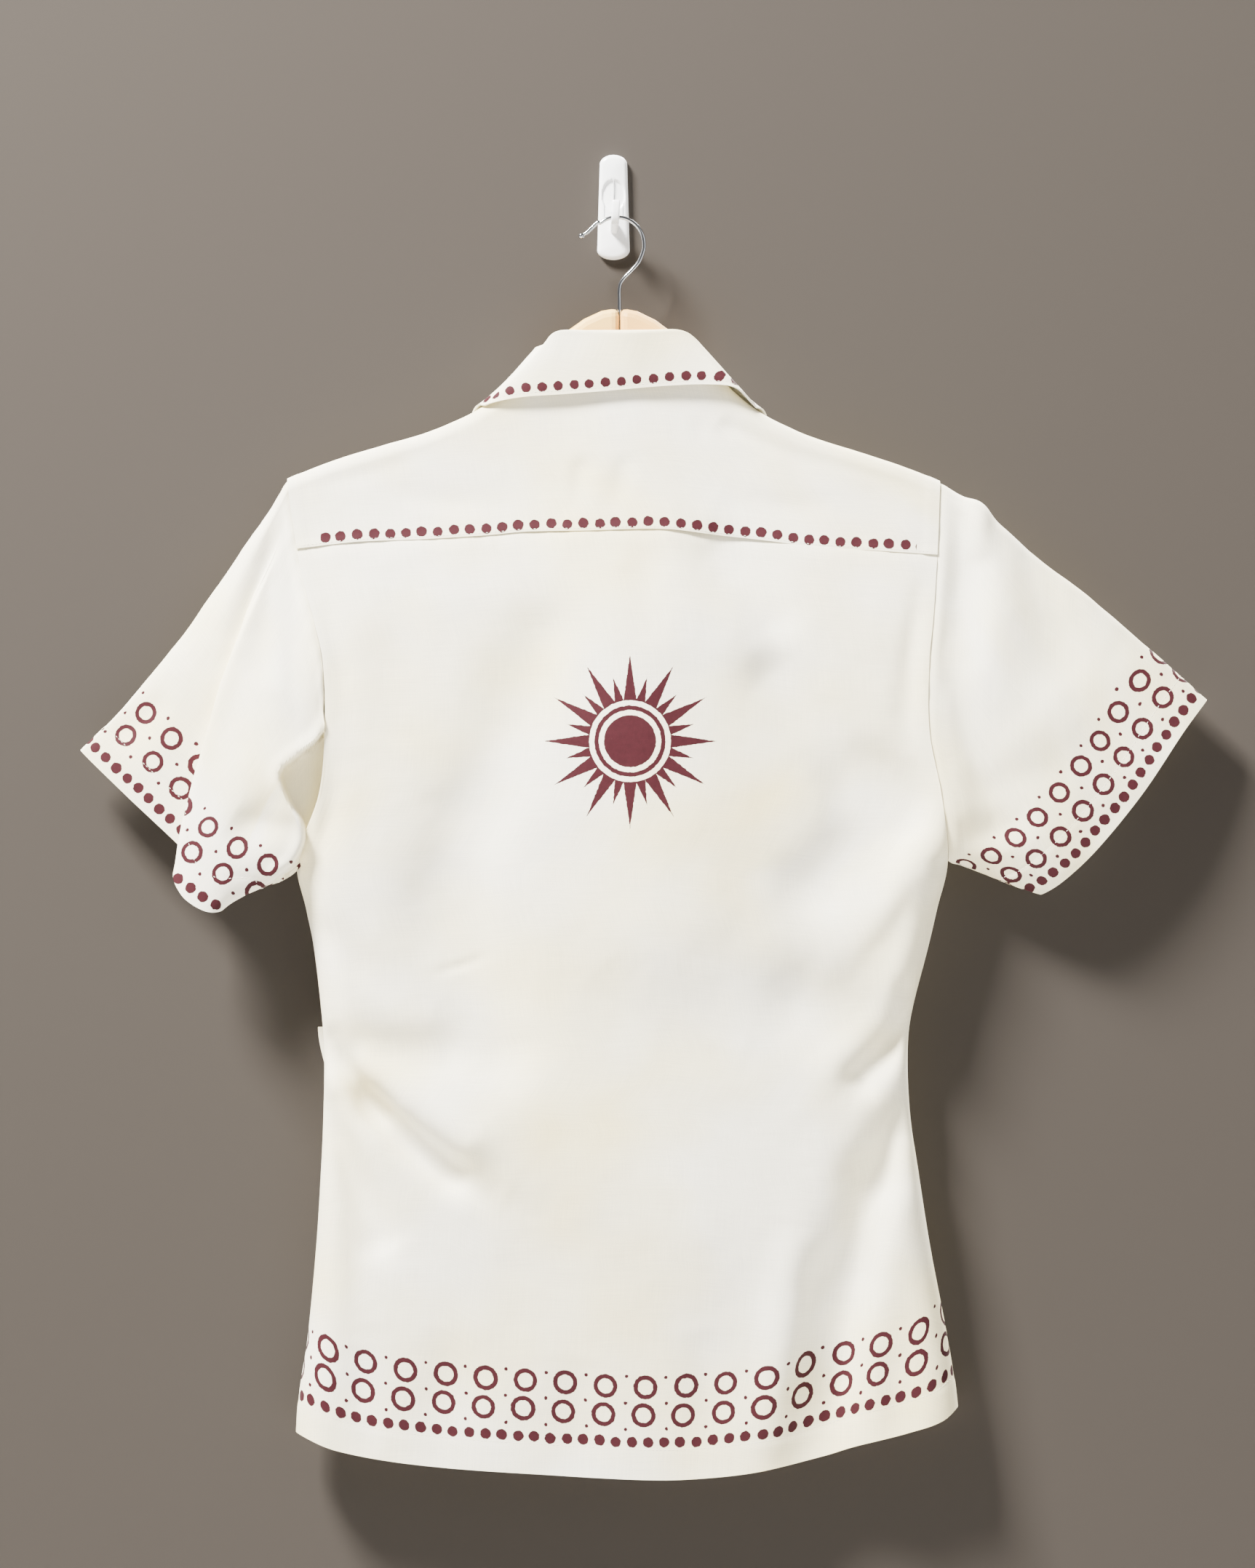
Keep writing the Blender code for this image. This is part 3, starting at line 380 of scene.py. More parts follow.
FRONT_CREASES = [Crease(*row) for row in (
    (-192, -560, -150, -620, -90, -650, 6.0, 1.8, 2.0, -2.0),
    (196, -545, 160, -590, 90, -622, 6.0, 1.8, 2.0, -2.0),
    (-196, -610, -176, -670, -150, -730, 6.0, 1.6, 2.2, -1.8),
    (196, -612, 172, -680, 158, -750, 6.0, 1.6, 2.2, -1.8),
    (-190, -300, -150, -350, -90, -380, 10.0, 1.3, 1.8, -1.4),
    (196, -310, 150, -372, 96, -400, 10.0, 1.3, 1.8, -1.4),
    (-60, -700, -66, -780, -60, -858, 12.0, 1.2, 1.6, -1.6),
    (64, -690, 70, -780, 66, -858, 12.0, 1.2, 1.6, -1.6),
    (-150, -760, -156, -810, -150, -848, 10.0, 1.2, 1.4, -1.4),
    (160, -740, 168, -800, 172, -842, 10.0, 1.2, 1.4, -1.4),
    (-206, -470, -170, -500, -120, -520, 7.0, 1.5, 2.0, -1.3),
    (214, -470, 176, -500, 120, -516, 7.0, 1.5, 2.0, -1.3),
    (18, -300, 50, -320, 80, -324, 5.0, 1.3, 1.8, -0.9),
    (20, -490, 52, -500, 84, -520, 5.0, 1.3, 1.8, -0.9),
)]
RIGHT_SLEEVE_CREASES = [Crease(*row) for row in (
    (242, -174, 248, -208, 249, -244, 8.5, 1.0, 1.2, 3.6),
    (236, -204, 238, -250, 232, -320, 7.0, 1.6, 1.8, -2.4),
    (262, -212, 262, -270, 250, -350, 10.0, 1.4, 1.8, 1.8),
    (272, -218, 300, -280, 316, -350, 12.0, 1.3, 1.6, -1.5),
    (226, -300, 244, -380, 268, -440, 8.0, 1.8, 1.8, -2.2),
    (232, -430, 256, -428, 286, -410, 8.0, 1.5, 1.6, -1.6),
    (236, -404, 270, -390, 312, -376, 12.0, 1.3, 1.4, -1.4),
    (330, -300, 300, -350, 262, -400, 16.0, 1.2, 1.4, 1.4),
)]
LEFT_SLEEVE_CREASES = [Crease(*row) for row in (
    (-226, -198, -232, -262, -238, -330, 9.0, 1.5, 1.6, -1.8),
    (-214, -236, -216, -300, -212, -372, 8.0, 1.4, 1.6, -1.5),
    (-238, -214, -262, -280, -276, -350, 7.0, 1.3, 1.6, 1.2),
    (-222, -396, -244, -420, -262, -440, 9.0, 1.4, 1.6, -1.6),
    (-212, -424, -236, -424, -256, -412, 7.0, 1.4, 1.6, -1.4),
    (-300, -330, -320, -352, -344, -366, 8.0, 1.3, 1.5, -1.2),
)]


class ShirtCloth(bpy.types.PropertyGroup):
    """Cloth, hems and seams"""

    thickness: FloatProperty(
        name="Thickness", description="Thickness of one layer of the cotton",
        default=0.0006, min=0.0002, max=0.0015, precision=4, unit="LENGTH")
    hem_deep: FloatProperty(
        name="Hem depth", description="Height of the hem's stitch line above its edge",
        default=0.0204, min=0.005, max=0.06, unit="LENGTH")
    cuff_deep: FloatProperty(
        name="Cuff hem depth", description="Distance of the cuff's stitch line from its edge",
        default=0.024, min=0.005, max=0.06, unit="LENGTH")
    seam_allowance: FloatProperty(
        name="Seam allowance", description="Width of the raised band beside a seam",
        default=0.008, min=0.002, max=0.02, unit="LENGTH")
    crumple: FloatProperty(
        name="Crumple", description="Height of the cloth's small unevenness",
        default=0.0007, min=0.0, max=0.002, precision=4, unit="LENGTH")
    cotton: FloatVectorProperty(
        name="Cotton", description="Colour of the cotton", subtype="COLOR", size=3, min=0, max=1,
        default=(0.90, 0.865, 0.735))
    cotton_warm: FloatVectorProperty(
        name="Warm cotton", description="Colour of the cotton where it is a little more yellow",
        subtype="COLOR", size=3, min=0, max=1, default=(0.87, 0.775, 0.44))


class ShirtPrint(bpy.types.PropertyGroup):
    """Printed borders, dots and sun"""

    ink: FloatVectorProperty(
        name="Ink", description="Colour of the print", subtype="COLOR", size=3, min=0, max=1,
        default=(0.036, 0.0034, 0.0068))
    ring_line: FloatProperty(
        name="Ring line", description="Width of a ring's line",
        default=RING_LINE, min=0.0005, max=0.005, precision=4, unit="LENGTH")
    unevenness: FloatProperty(
        name="Unevenness", description="How far the print's outlines wander, as in hand printing",
        default=0.00055, min=0.0, max=0.002, precision=5, unit="LENGTH")
    sun_reach: FloatProperty(
        name="Sun reach", description="Distance from the sun's middle to its longest rays' tips",
        default=0.0586, min=0.01, max=0.12, unit="LENGTH")
    sun_place: FloatVectorProperty(
        name="Sun place", description="Middle of the printed sun", subtype="XYZ", size=3,
        default=(0.0113, -0.045, -0.3641), unit="LENGTH")


class ShirtFittings(bpy.types.PropertyGroup):
    """Hanger, wire, wall hook and buttons"""

    wood_left: FloatVectorProperty(
        name="Left wood", description="Colour of the hanger's left half", subtype="COLOR", size=3,
        min=0, max=1, default=(0.87, 0.57, 0.17))
    wood_right: FloatVectorProperty(
        name="Right wood", description="Colour of the hanger's right half", subtype="COLOR", size=3,
        min=0, max=1, default=(0.81, 0.48, 0.14))
    wire: FloatVectorProperty(
        name="Wire", description="Colour of the chrome", subtype="COLOR", size=3, min=0, max=1,
        default=(0.52, 0.53, 0.55))
    hook: FloatVectorProperty(
        name="Wall hook", description="Colour of the wall hook's plastic", subtype="COLOR", size=3,
        min=0, max=1, default=(0.66, 0.70, 0.73))
    button: FloatVectorProperty(
        name="Buttons", description="Colour of the buttons", subtype="COLOR", size=3, min=0, max=1,
        default=(0.84, 0.80, 0.70))


class ShirtStage(bpy.types.PropertyGroup):
    """Camera, floor, wall and lights"""

    camera_away: FloatProperty(
        name="Camera distance", description="Distance of the camera from the shirt",
        default=5.0, min=1.0, max=12.0, unit="LENGTH")
    view_high: FloatProperty(
        name="View height", description="Height of what the camera sees at the shirt",
        default=1.0608, min=0.2, max=4.0, unit="LENGTH")
    view_middle: FloatVectorProperty(
        name="View middle", description="Point at the middle of the picture", subtype="XYZ", size=3,
        default=(0.0096, -0.04, -0.393), unit="LENGTH")
    floor_height: FloatProperty(
        name="Floor height", description="Height of the floor", default=-1.45, min=-3.0, max=-0.9,
        unit="LENGTH")
    wall_colour: FloatVectorProperty(
        name="Wall", description="Colour of the wall behind", subtype="COLOR", size=3, min=0, max=1,
        default=(0.030, 0.024, 0.019))
    floor_colour: FloatVectorProperty(
        name="Floor", description="Colour of the floor", subtype="COLOR", size=3, min=0, max=1,
        default=(0.62, 0.61, 0.59))


def read_curve(rows, at):
    """Values on the smooth curve through rows of (place, value), sorted by place."""
    places, values = np.array(rows, float).T
    slopes = np.empty(len(rows))
    slopes[1:-1] = (values[2:] - values[:-2]) / (places[2:] - places[:-2])
    slopes[0] = (values[1] - values[0]) / (places[1] - places[0])
    slopes[-1] = (values[-1] - values[-2]) / (places[-1] - places[-2])
    at = np.asarray(at, float)
    k = np.clip(np.searchsorted(places, at) - 1, 0, len(rows) - 2)
    step = places[k + 1] - places[k]
    w = np.clip((at - places[k]) / step, 0, 1)
    eased = w * w * (3 - 2 * w)
    start = (w - 2 * w * w + w ** 3) * step * slopes[k]
    stop = (w ** 3 - w * w) * step * slopes[k + 1]
    return values[k] + (values[k + 1] - values[k]) * eased + start + stop


def read_chain(points, at, closed=False):
    """Points at places (0 to the number of points) on the smooth chain through a list of points."""
    points = np.array(points, float)
    at = np.asarray(at, float)
    k = np.floor(at).astype(int)
    if not closed:
        k = np.clip(k, 0, len(points) - 2)
    w = (at - k)[..., None]

    def near(i):
        return points[i % len(points)] if closed else points[np.clip(i, 0, len(points) - 1)]

    a, b, c, d = near(k - 1), near(k), near(k + 1), near(k + 2)
    return 0.5 * (2 * b + (c - a) * w + (2 * a - 5 * b + 4 * c - d) * w * w
                  + (3 * b - a - 3 * c + d) * w ** 3)


def ease(w):
    w = np.clip(w, 0, 1)
    return w * w * (3 - 2 * w)


def quarter_round(w):
    """Height of a quarter circle of radius 1 at a distance w in from its foot."""
    return np.sqrt(np.maximum(1 - (1 - np.clip(w, 0, 1)) ** 2, 0))


def mix(a, b, w):
    return a + (b - a) * w


def unit(vectors):
    return vectors / np.maximum(np.linalg.norm(vectors, axis=-1, keepdims=True), 1e-9)


SECTION_COLUMNS = {
    name: [(row.z, getattr(row, name)) for row in SECTIONS] for name in ("left", "right", "back", "front")
}


def edge_x(side, z):
    """Left (-1) or right (1) edge of the body at a height."""
    return read_curve(SECTION_COLUMNS["left" if side < 0 else "right"], z)


def hanger_top(x):
    out = x - HANGER_X
    return read_curve(HANGER_TOP, np.abs(out)) - HANGER_TILT * out


def steepness(x):
    """Cosine of the shoulder's slope."""
    slope = (hanger_top(x + 1.0) - hanger_top(x - 1.0)) / 2.0
    return 1 / np.sqrt(1 + slope * slope)


def crest_z(x):
    """Top of the cloth where it lies over the hanger."""
    return hanger_top(x) + (HANGER_CLEAR + WALL) / steepness(x)


def fold_height(folds, x, z):
    total = 0.0
    for fold in folds:
        run_x, run_z = fold.x2 - fold.x1, fold.z2 - fold.z1
        long = math.hypot(run_x, run_z)
        along = ((x - fold.x1) * run_x + (z - fold.z1) * run_z) / long ** 2
        off = np.abs(run_x * (z - fold.z1) - run_z * (x - fold.x1)) / long
        past = np.maximum(np.maximum(-along, along - 1), 0) * long
        total = total + fold.high * np.exp(-(off / fold.wide) ** 2 - (past / fold.wide) ** 2)
    return total


def crease_height(creases, x, z):
    """Height of the small creases at places on the cloth, each fading at its two ends."""
    total = np.zeros(np.shape(x))
    steps = 22
    for row in creases:
        t = np.linspace(0, 1, steps + 1)
        line_x = (1 - t) ** 2 * row.x1 + 2 * t * (1 - t) * row.x2 + t * t * row.x3
        line_z = (1 - t) ** 2 * row.z1 + 2 * t * (1 - t) * row.z2 + t * t * row.z3
        best = np.full(np.shape(x), np.inf)
        place = np.zeros(np.shape(x))
        side = np.zeros(np.shape(x))
        for k in range(steps):
            run_x, run_z = line_x[k + 1] - line_x[k], line_z[k + 1] - line_z[k]
            away_x, away_z = x - line_x[k], z - line_z[k]
            share = np.clip((away_x * run_x + away_z * run_z) / (run_x ** 2 + run_z ** 2), 0, 1)
            off = np.hypot(away_x - share * run_x, away_z - share * run_z)
            better = off < best
            best = np.where(better, off, best)
            place = np.where(better, (k + share) / steps, place)
            side = np.where(better, run_x * away_z - run_z * away_x, side)
        wide = row.wide * mix(1.0, row.grow, place) * np.where(side > 0, row.far, 1.0)
        ends = np.sin(np.pi * np.clip(place, 0.02, 0.98)) ** 0.7
        total += CREASE_GAIN * row.high * np.exp(-(best / wide) ** 2) * ends
    return total


def unevenness(x, z, size, seed):
    """Soft random height from -1 to 1 at each place, with bumps of about the given size."""
    flat_x, flat_z = np.ravel(x) / size, np.ravel(z) / size
    found = [noise.noise(Vector((a, b, seed))) for a, b in zip(flat_x, flat_z)]
    return np.array(found).reshape(np.shape(x))


def half_depth(layer, x, z):
    """Distance of the back (-1) or front (1) layer from the middle plane."""
    drop = (crest_z(x) - z) * steepness(x)
    base = read_curve(SECTION_COLUMNS["back" if layer < 0 else "front"], z)
    deep = mix(CREST_RADIUS, base, ease((drop - CREST_RADIUS) / CREST_EASE))
    top = quarter_round(drop / CREST_RADIUS)
    inside = np.minimum(x - edge_x(-1, z), edge_x(1, z) - x)
    armhole_side = quarter_round((z - UNDERARM_Z) / UNDERARM_ROUND)
    side = mix(armhole_side, 1.0, quarter_round(inside / SIDE_ROUND))
    folds = fold_height(BACK_FOLDS if layer < 0 else FRONT_FOLDS, x, z)
    gain = FOLD_GAIN if layer < 0 else FRONT_FOLD_GAIN
    folds = folds * gain * quarter_round(inside / SIDE_ROUND) * ease(drop / CREST_EASE)
    deepest = np.maximum(INWARD_SHARE * deep * top * side, 0.01)
    return deep * top * side + np.where(folds < 0, deepest * np.tanh(folds / deepest), folds)


def layer_y(layer, x, z):
    return MID_Y + layer * half_depth(layer, x, z)


def overlap_lift(x):
    """How far the left front stands out where it passes over the right one."""
    return (WALL + OVERLAP_GAP) * ease((x - OVERLAP_START_X) / OVERLAP_EASE)


def outside(points, lift):
    """The points, moved out of the shoulders' cloth until they clear its outer surface by lift."""
    x, y, z = np.moveaxis(points, -1, 0)
    cosine = steepness(x)
    axis_z = crest_z(x) - CREST_RADIUS / cosine
    layer = np.where(y < MID_Y, -1, 1)
    lift = lift + np.where((layer > 0) & (x < CENTRE_X + OVERLAP + OVERLAP_MARGIN), overlap_lift(x), 0.0)
    up, out = (z - axis_z) * cosine, y - MID_Y
    reach = np.maximum(np.hypot(up, out), 1e-6)
    grow = np.maximum((CREST_RADIUS + lift) / reach, 1)
    need = np.where(layer < 0, half_depth(-1, x, z), half_depth(1, x, z)) + lift
    above = z > axis_z
    new_y = np.where(above, MID_Y + out * grow, MID_Y + layer * np.maximum(np.abs(out), need))
    new_z = np.where(above, axis_z + up * grow / cosine, z)
    return np.stack([x, new_y, new_z], -1)


def grid_normals(points, closed=False):
    """Unit normals of a grid of points: across, crossed with down."""
    across = np.gradient(points, axis=1)
    if closed:
        across[:, 0] = across[:, -1] = (points[:, 1] - points[:, -2]) / 2
    return unit(np.cross(across, np.gradient(points, axis=0)))


def edge_coordinates(points, edge, closed=False):
    """Run along an edge, and distance from it, for each point of a grid.

    edge has one point for each of the grid's columns. A column that leaves its edge at a slant is
    put right by the part of it that goes along the edge.
    """
    spans = np.linalg.norm(np.diff(edge, axis=0), axis=1)
    run = np.concatenate([[0], np.cumsum(spans)])
    tangent = np.gradient(edge, axis=0)
    if closed:
        tangent[0] = tangent[-1] = edge[1] - edge[-2]
    for _ in range(3):
        beside = np.stack([np.roll(tangent, 1, axis=0), tangent, np.roll(tangent, -1, axis=0)])
        if not closed:
            beside[0, 0], beside[2, -1] = tangent[0], tangent[-1]
        tangent = beside.mean(0)
    tangent = unit(tangent)
    away = points - edge
    slant = (away * tangent).sum(-1)
    return run + slant, np.sqrt(np.maximum((away ** 2).sum(-1) - slant ** 2, 0))


def lengths(points, axis):
    """Distance along a grid's rows (axis 1) or columns (axis 0), for each point."""
    steps = np.linalg.norm(np.diff(points, axis=axis), axis=-1)
    pad = [(1, 0), (0, 0)] if axis == 0 else [(0, 0), (1, 0)]
    return np.cumsum(np.pad(steps, pad), axis=axis)


def link(made):
    bpy.context.scene.collection.objects.link(made)
    return made


def new_mesh(name, verts, faces, finish):
    mesh = bpy.data.meshes.new(name)
    mesh.from_pydata([tuple(v) for v in verts], [], [tuple(f) for f in faces])
    mesh.materials.append(finish)
    mesh.shade_smooth()
    mesh.set_sharp_from_angle(angle=math.radians(50))
    return link(bpy.data.objects.new(name, mesh))


def cloth_object(name, points, outward, thick, print_map, finish, closed=False):
    """A thin closed cloth from a grid of outer points, with its cloth and print maps in metres.

    outward is 1 where across crossed with down points outwards, or else -1. thick is one number or
    one for each point.
    """
    rows, cols = points.shape[:2]
    normals = grid_normals(points, closed) * outward
    inner = points - normals * np.broadcast_to(thick, (rows, cols))[..., None]
    wrap = cols - 1 if closed else cols
    index = np.arange(rows)[:, None] * wrap + (np.arange(cols) % wrap)[None, :]
    verts = np.concatenate([points[:, :wrap].reshape(-1, 3), inner[:, :wrap].reshape(-1, 3)]) * MM
    layer = rows * wrap

    def quads(a, b, c, d):
        return np.stack([a.ravel(), b.ravel(), c.ravel(), d.ravel()], -1)

    cells = np.arange(rows * cols).reshape(rows, cols)
    corner = quads(cells[:-1, :-1], cells[:-1, 1:], cells[1:, 1:], cells[1:, :-1])
    if outward < 0:
        corner = corner[:, ::-1]
    outer_faces = index.ravel()[corner]
    inner_corner = corner[:, ::-1]
    inner_faces = index.ravel()[inner_corner] + layer
    rims, rim_cells = [], []

    def rim(line, flip):
        a, b = line[:-1], line[1:]
        faces = np.stack([index.ravel()[a], index.ravel()[b], index.ravel()[b] + layer,
                          index.ravel()[a] + layer], -1)
        cell = np.stack([a, b, b, a], -1)
        rims.append(faces[:, ::-1] if flip else faces)
        rim_cells.append(cell[:, ::-1] if flip else cell)

    rim(cells[0], outward > 0)
    rim(cells[-1], outward < 0)
    if not closed:
        rim(cells[:, 0], outward < 0)
        rim(cells[:, -1], outward > 0)
    faces = np.concatenate([outer_faces, inner_faces] + rims)
    made = new_mesh(name, verts, faces, finish)
    weave = np.stack([lengths(points, 1), lengths(points, 0)], -1).reshape(-1, 2) * MM
    printed = print_map.reshape(-1, 2)
    for label, outer, inside in (("weave", weave, weave), ("print", printed, printed + [0, INSIDE_SHIFT])):
        layer_uv = made.data.uv_layers.new(name=label)
        sides = [outer[corner], inside[inner_corner]]
        values = np.concatenate(sides + [outer[cell] for cell in rim_cells])
        layer_uv.uv.foreach_set("vector", values.reshape(-1).astype(np.float32))
    return made


def displaced(points, outward, height, closed=False):
    """The grid's points, moved out along its normals by a height for each."""
    return points + grid_normals(points, closed) * outward * height[..., None]


def hem_thickness(cloth, deep, distance, extra):
    """The cloth's thickness, with some extra as far as its hem is turned under."""
    return cloth.thickness * TO_MM + extra * ease((deep * TO_MM + 0.6 - distance) / 1.2)


def away_from_sides(points, reach):
    """0 on a grid's two outer columns, rising to 1 at a distance in from them."""
    across = lengths(points, 1)
    return ease(across / reach) * ease((across[:, -1:] - across) / reach)


def hem_relief(from_edge, deep):
    """Height of a turned and stitched hem: raised below its stitch line, pulled in along it."""
    raised = 0.35 * ease((deep + 0.6 - from_edge) / 1.2)
    line = -0.45 * np.exp(-((from_edge - deep) / 1.1) ** 2)
    return raised + line


def puckers(along, off, seed, pitch=7.0, high=0.22, wide=7.0):
    """Small ripples that sewing pulls into the cloth beside a stitch line."""
    wave = np.array([noise.noise(Vector((a / pitch, seed, 0))) for a in np.ravel(along)])
    return high * wave.reshape(np.shape(along)) * np.exp(-(off / wide) ** 2)


class Wiring:
    """Short ways to add nodes to one tree. Each gives back the socket that it makes."""

    def __init__(self, tree):
        self.tree = tree

    def node(self, kind, **settings):
        made = self.tree.nodes.new(kind)
        for name, value in settings.items():
            setattr(made, name, value)
        return made

    def put(self, socket, value):
        if isinstance(value, bpy.types.NodeSocket):
            self.tree.links.new(value, socket)
        else:
            socket.default_value = value

    def math(self, operation, *values, clamp=False):
        made = self.node("ShaderNodeMath", operation=operation, use_clamp=clamp)
        for socket, value in zip(made.inputs, values):
            self.put(socket, value)
        return made.outputs[0]

    def plus(self, *values, **settings):
        return self.math("ADD", *values, **settings)

    def minus(self, *values, **settings):
        return self.math("SUBTRACT", *values, **settings)

    def times(self, *values, **settings):
        return self.math("MULTIPLY", *values, **settings)

    def over(self, *values, **settings):
        return self.math("DIVIDE", *values, **settings)

    def distance(self, x, y):
        return self.math("SQRT", self.plus(self.times(x, x), self.times(y, y)))

    def blend(self, share, first, second):
        made = self.node("ShaderNodeMix", data_type="RGBA")
        self.put(made.inputs[0], share)
        self.put(made.inputs[6], first)
        self.put(made.inputs[7], second)
        return made.outputs[2]

    def vector(self, x=0.0, y=0.0, z=0.0):
        made = self.node("ShaderNodeCombineXYZ")
        for socket, value in zip(made.inputs, (x, y, z)):
            self.put(socket, value)
        return made.outputs[0]

    def parts(self, vector):
        made = self.node("ShaderNodeSeparateXYZ")
        self.put(made.inputs[0], vector)
        return made.outputs

    def scaled(self, vector, scale):
        made = self.node("ShaderNodeMapping")
        self.put(made.inputs["Vector"], vector)
        made.inputs["Scale"].default_value = scale
        return made.outputs[0]

    def noise(self, vector, scale, detail=2.0, rough=0.5):
        made = self.node("ShaderNodeTexNoise")
        self.put(made.inputs["Vector"], vector)
        made.inputs["Scale"].default_value = scale
        made.inputs["Detail"].default_value = detail
        made.inputs["Roughness"].default_value = rough
        return made.outputs["Fac"]

    def group(self, tree, **values):
        made = self.node("ShaderNodeGroup", node_tree=tree)
        for socket in made.inputs:
            key = socket.name.lower().replace(" ", "_")
            if key in values:
                self.put(socket, values[key])
        return made.outputs


def shader_group(name, inputs, outputs):
    """A new shader node group. Gives its wiring, its inputs by key and a way to set its outputs."""
    tree = bpy.data.node_groups.new(name, "ShaderNodeTree")
    for label, kind, default in inputs:
        socket = tree.interface.new_socket(name=label, in_out="INPUT", socket_type=kind)
        if default is not None:
            socket.default_value = default
    for label, kind in outputs:
        tree.interface.new_socket(name=label, in_out="OUTPUT", socket_type=kind)
    wires = Wiring(tree)
    entry, leave = wires.node("NodeGroupInput"), wires.node("NodeGroupOutput")
    ins = {socket.name.lower().replace(" ", "_"): socket for socket in entry.outputs if socket.name}
    return tree, wires, ins, leave


NUMBER, COLOUR, VECTOR = "NodeSocketFloat", "NodeSocketColor", "NodeSocketVector"


def printed_row():
    """Group: one row of hand-printed dots, or of rings where Line is above 0."""
    name = "Printed row"
    if name in bpy.data.node_groups:
        return bpy.data.node_groups[name]
    tree, w, ins, leave = shader_group(name, [
        ("Along", NUMBER, 0.0), ("Up", NUMBER, 0.0), ("Row", NUMBER, 25.0), ("Pitch", NUMBER, 11.0),
        ("Start", NUMBER, 0.0), ("Radius", NUMBER, 3.5), ("Line", NUMBER, 0.0),
        ("Unevenness", NUMBER, 0.5), ("From", NUMBER, -9999.0), ("To", NUMBER, 9999.0),
    ], [("Mask", NUMBER)])
    turns = w.over(w.minus(ins["along"], ins["start"]), ins["pitch"])
    cell = w.math("FLOOR", w.plus(turns, 0.5))
    local = w.times(w.minus(turns, cell), ins["pitch"])
    chance = w.node("ShaderNodeTexWhiteNoise", noise_dimensions="2D")
    w.put(chance.inputs["Vector"], w.vector(cell, ins["row"]))
    luck = w.parts(chance.outputs["Color"])

    def shifted(value, share):
        return w.times(w.minus(value, 0.5), w.times(ins["unevenness"], share))

    size = w.plus(w.times(luck[2], 0.08), 0.96)
    off_x = w.plus(local, shifted(luck[0], 1.6))
    off_y = w.plus(w.minus(ins["up"], ins["row"]), shifted(luck[1], 1.8))
    reach = w.over(w.distance(off_x, off_y), size)
    reach = w.plus(reach, shifted(w.noise(w.vector(ins["along"], ins["up"]), 0.42, 2.0, 0.6), 2.4))
    is_ring = w.math("GREATER_THAN", ins["line"], 0.01)
    half_line = w.times(ins["line"], 0.5)
    middle = w.times(w.minus(ins["radius"], half_line), is_ring)
    half = w.minus(ins["radius"], middle)
    outside_by = w.minus(w.math("ABSOLUTE", w.minus(reach, middle)), half)
    mask = w.minus(0.5, w.times(outside_by, 4.0), clamp=True)
    after = w.math("GREATER_THAN", ins["along"], ins["from"])
    before = w.math("LESS_THAN", ins["along"], ins["to"])
    w.put(leave.inputs["Mask"], w.times(mask, w.times(after, before)))
    return tree


def printed_border():
    """Group: a row of dots, two rows of rings, and small flecks between them."""
    name = "Printed border"
    if name in bpy.data.node_groups:
        return bpy.data.node_groups[name]
    labels = [("Along", 0.0), ("Up", 0.0), ("Unevenness", 0.5)]
    labels += [(label.replace("_", " ").capitalize(), value)
               for label, value in BORDERS["hem"]._asdict().items()]
    tree, w, ins, leave = shader_group(
        name, [(label, NUMBER, value) for label, value in labels], [("Mask", NUMBER)])
    row = printed_row()
    shared = {"along": ins["along"], "up": ins["up"], "unevenness": ins["unevenness"]}
    total = w.group(row, row=ins["dots"], pitch=ins["dot_pitch"], start=ins["dot_start"],
                    radius=ins["dot_radius"], **shared)[0]
    for high, begin in (("rings", "ring_start"), ("upper_rings", "upper_start")):
        ring = w.group(row, row=ins[high], pitch=ins["ring_pitch"], start=ins[begin],
                       radius=ins["ring_radius"], line=ins["ring_line"], **shared)[0]
        total = w.math("MAXIMUM", total, ring)
    for high in ("flecks_1", "flecks_2", "flecks_3"):
        fleck = w.group(row, row=ins[high], pitch=ins["ring_pitch"], start=ins["fleck_start"],
                        radius=ins["fleck_radius"], **shared)[0]
        total = w.math("MAXIMUM", total, fleck)
    w.put(leave.inputs["Mask"], total)
    return tree


def printed_sun():
    """Group: a generic sun, with a small disc, a ring round it and straight rays of two lengths."""
    name = "Printed sun"
    if name in bpy.data.node_groups:
        return bpy.data.node_groups[name]
    tree, w, ins, leave = shader_group(name, [
        ("Across", NUMBER, 0.0), ("Up", NUMBER, 0.0), ("Reach", NUMBER, 58.6), ("Unevenness", NUMBER, 0.5),
    ], [("Mask", NUMBER)])
    x = w.over(ins["across"], ins["reach"])
    y = w.over(ins["up"], ins["reach"])
    wander = w.noise(w.vector(ins["across"], ins["up"]), 0.35, 2.0, 0.6)
    wander = w.over(w.times(w.minus(wander, 0.5), w.times(ins["unevenness"], 2.2)), ins["reach"])
    radius = w.distance(x, y)
    sharp = w.times(ins["reach"], 4.0)

    def shown(outside_by):
        outside_by = w.plus(outside_by, wander)
        return w.minus(0.5, w.times(outside_by, sharp), clamp=True)

    disc = shown(w.minus(radius, 0.30))
    ring = shown(w.minus(w.math("ABSOLUTE", w.minus(radius, 0.385)), 0.026))
    total = w.math("MAXIMUM", disc, ring)
    rays = 12
    for turn, start, stop, wide in ((0.0, 0.47, 1.0, 0.078), (0.5, 0.47, 0.76, 0.056)):
        angle = w.math("ARCTAN2", y, x)
        part = w.minus(w.times(angle, rays / (2 * math.pi)), turn)
        off = w.minus(part, w.math("ROUND", part))
        off = w.times(off, 2 * math.pi / rays)
        side = w.math("ABSOLUTE", w.times(radius, w.math("SINE", off)))
        share = w.over(w.minus(radius, start), stop - start)
        half = w.times(w.minus(1.0, share), wide)
        edge = w.math("MAXIMUM", w.minus(side, half), w.minus(start, radius))
        total = w.math("MAXIMUM", total, shown(edge))
    w.put(leave.inputs["Mask"], total)
    return tree


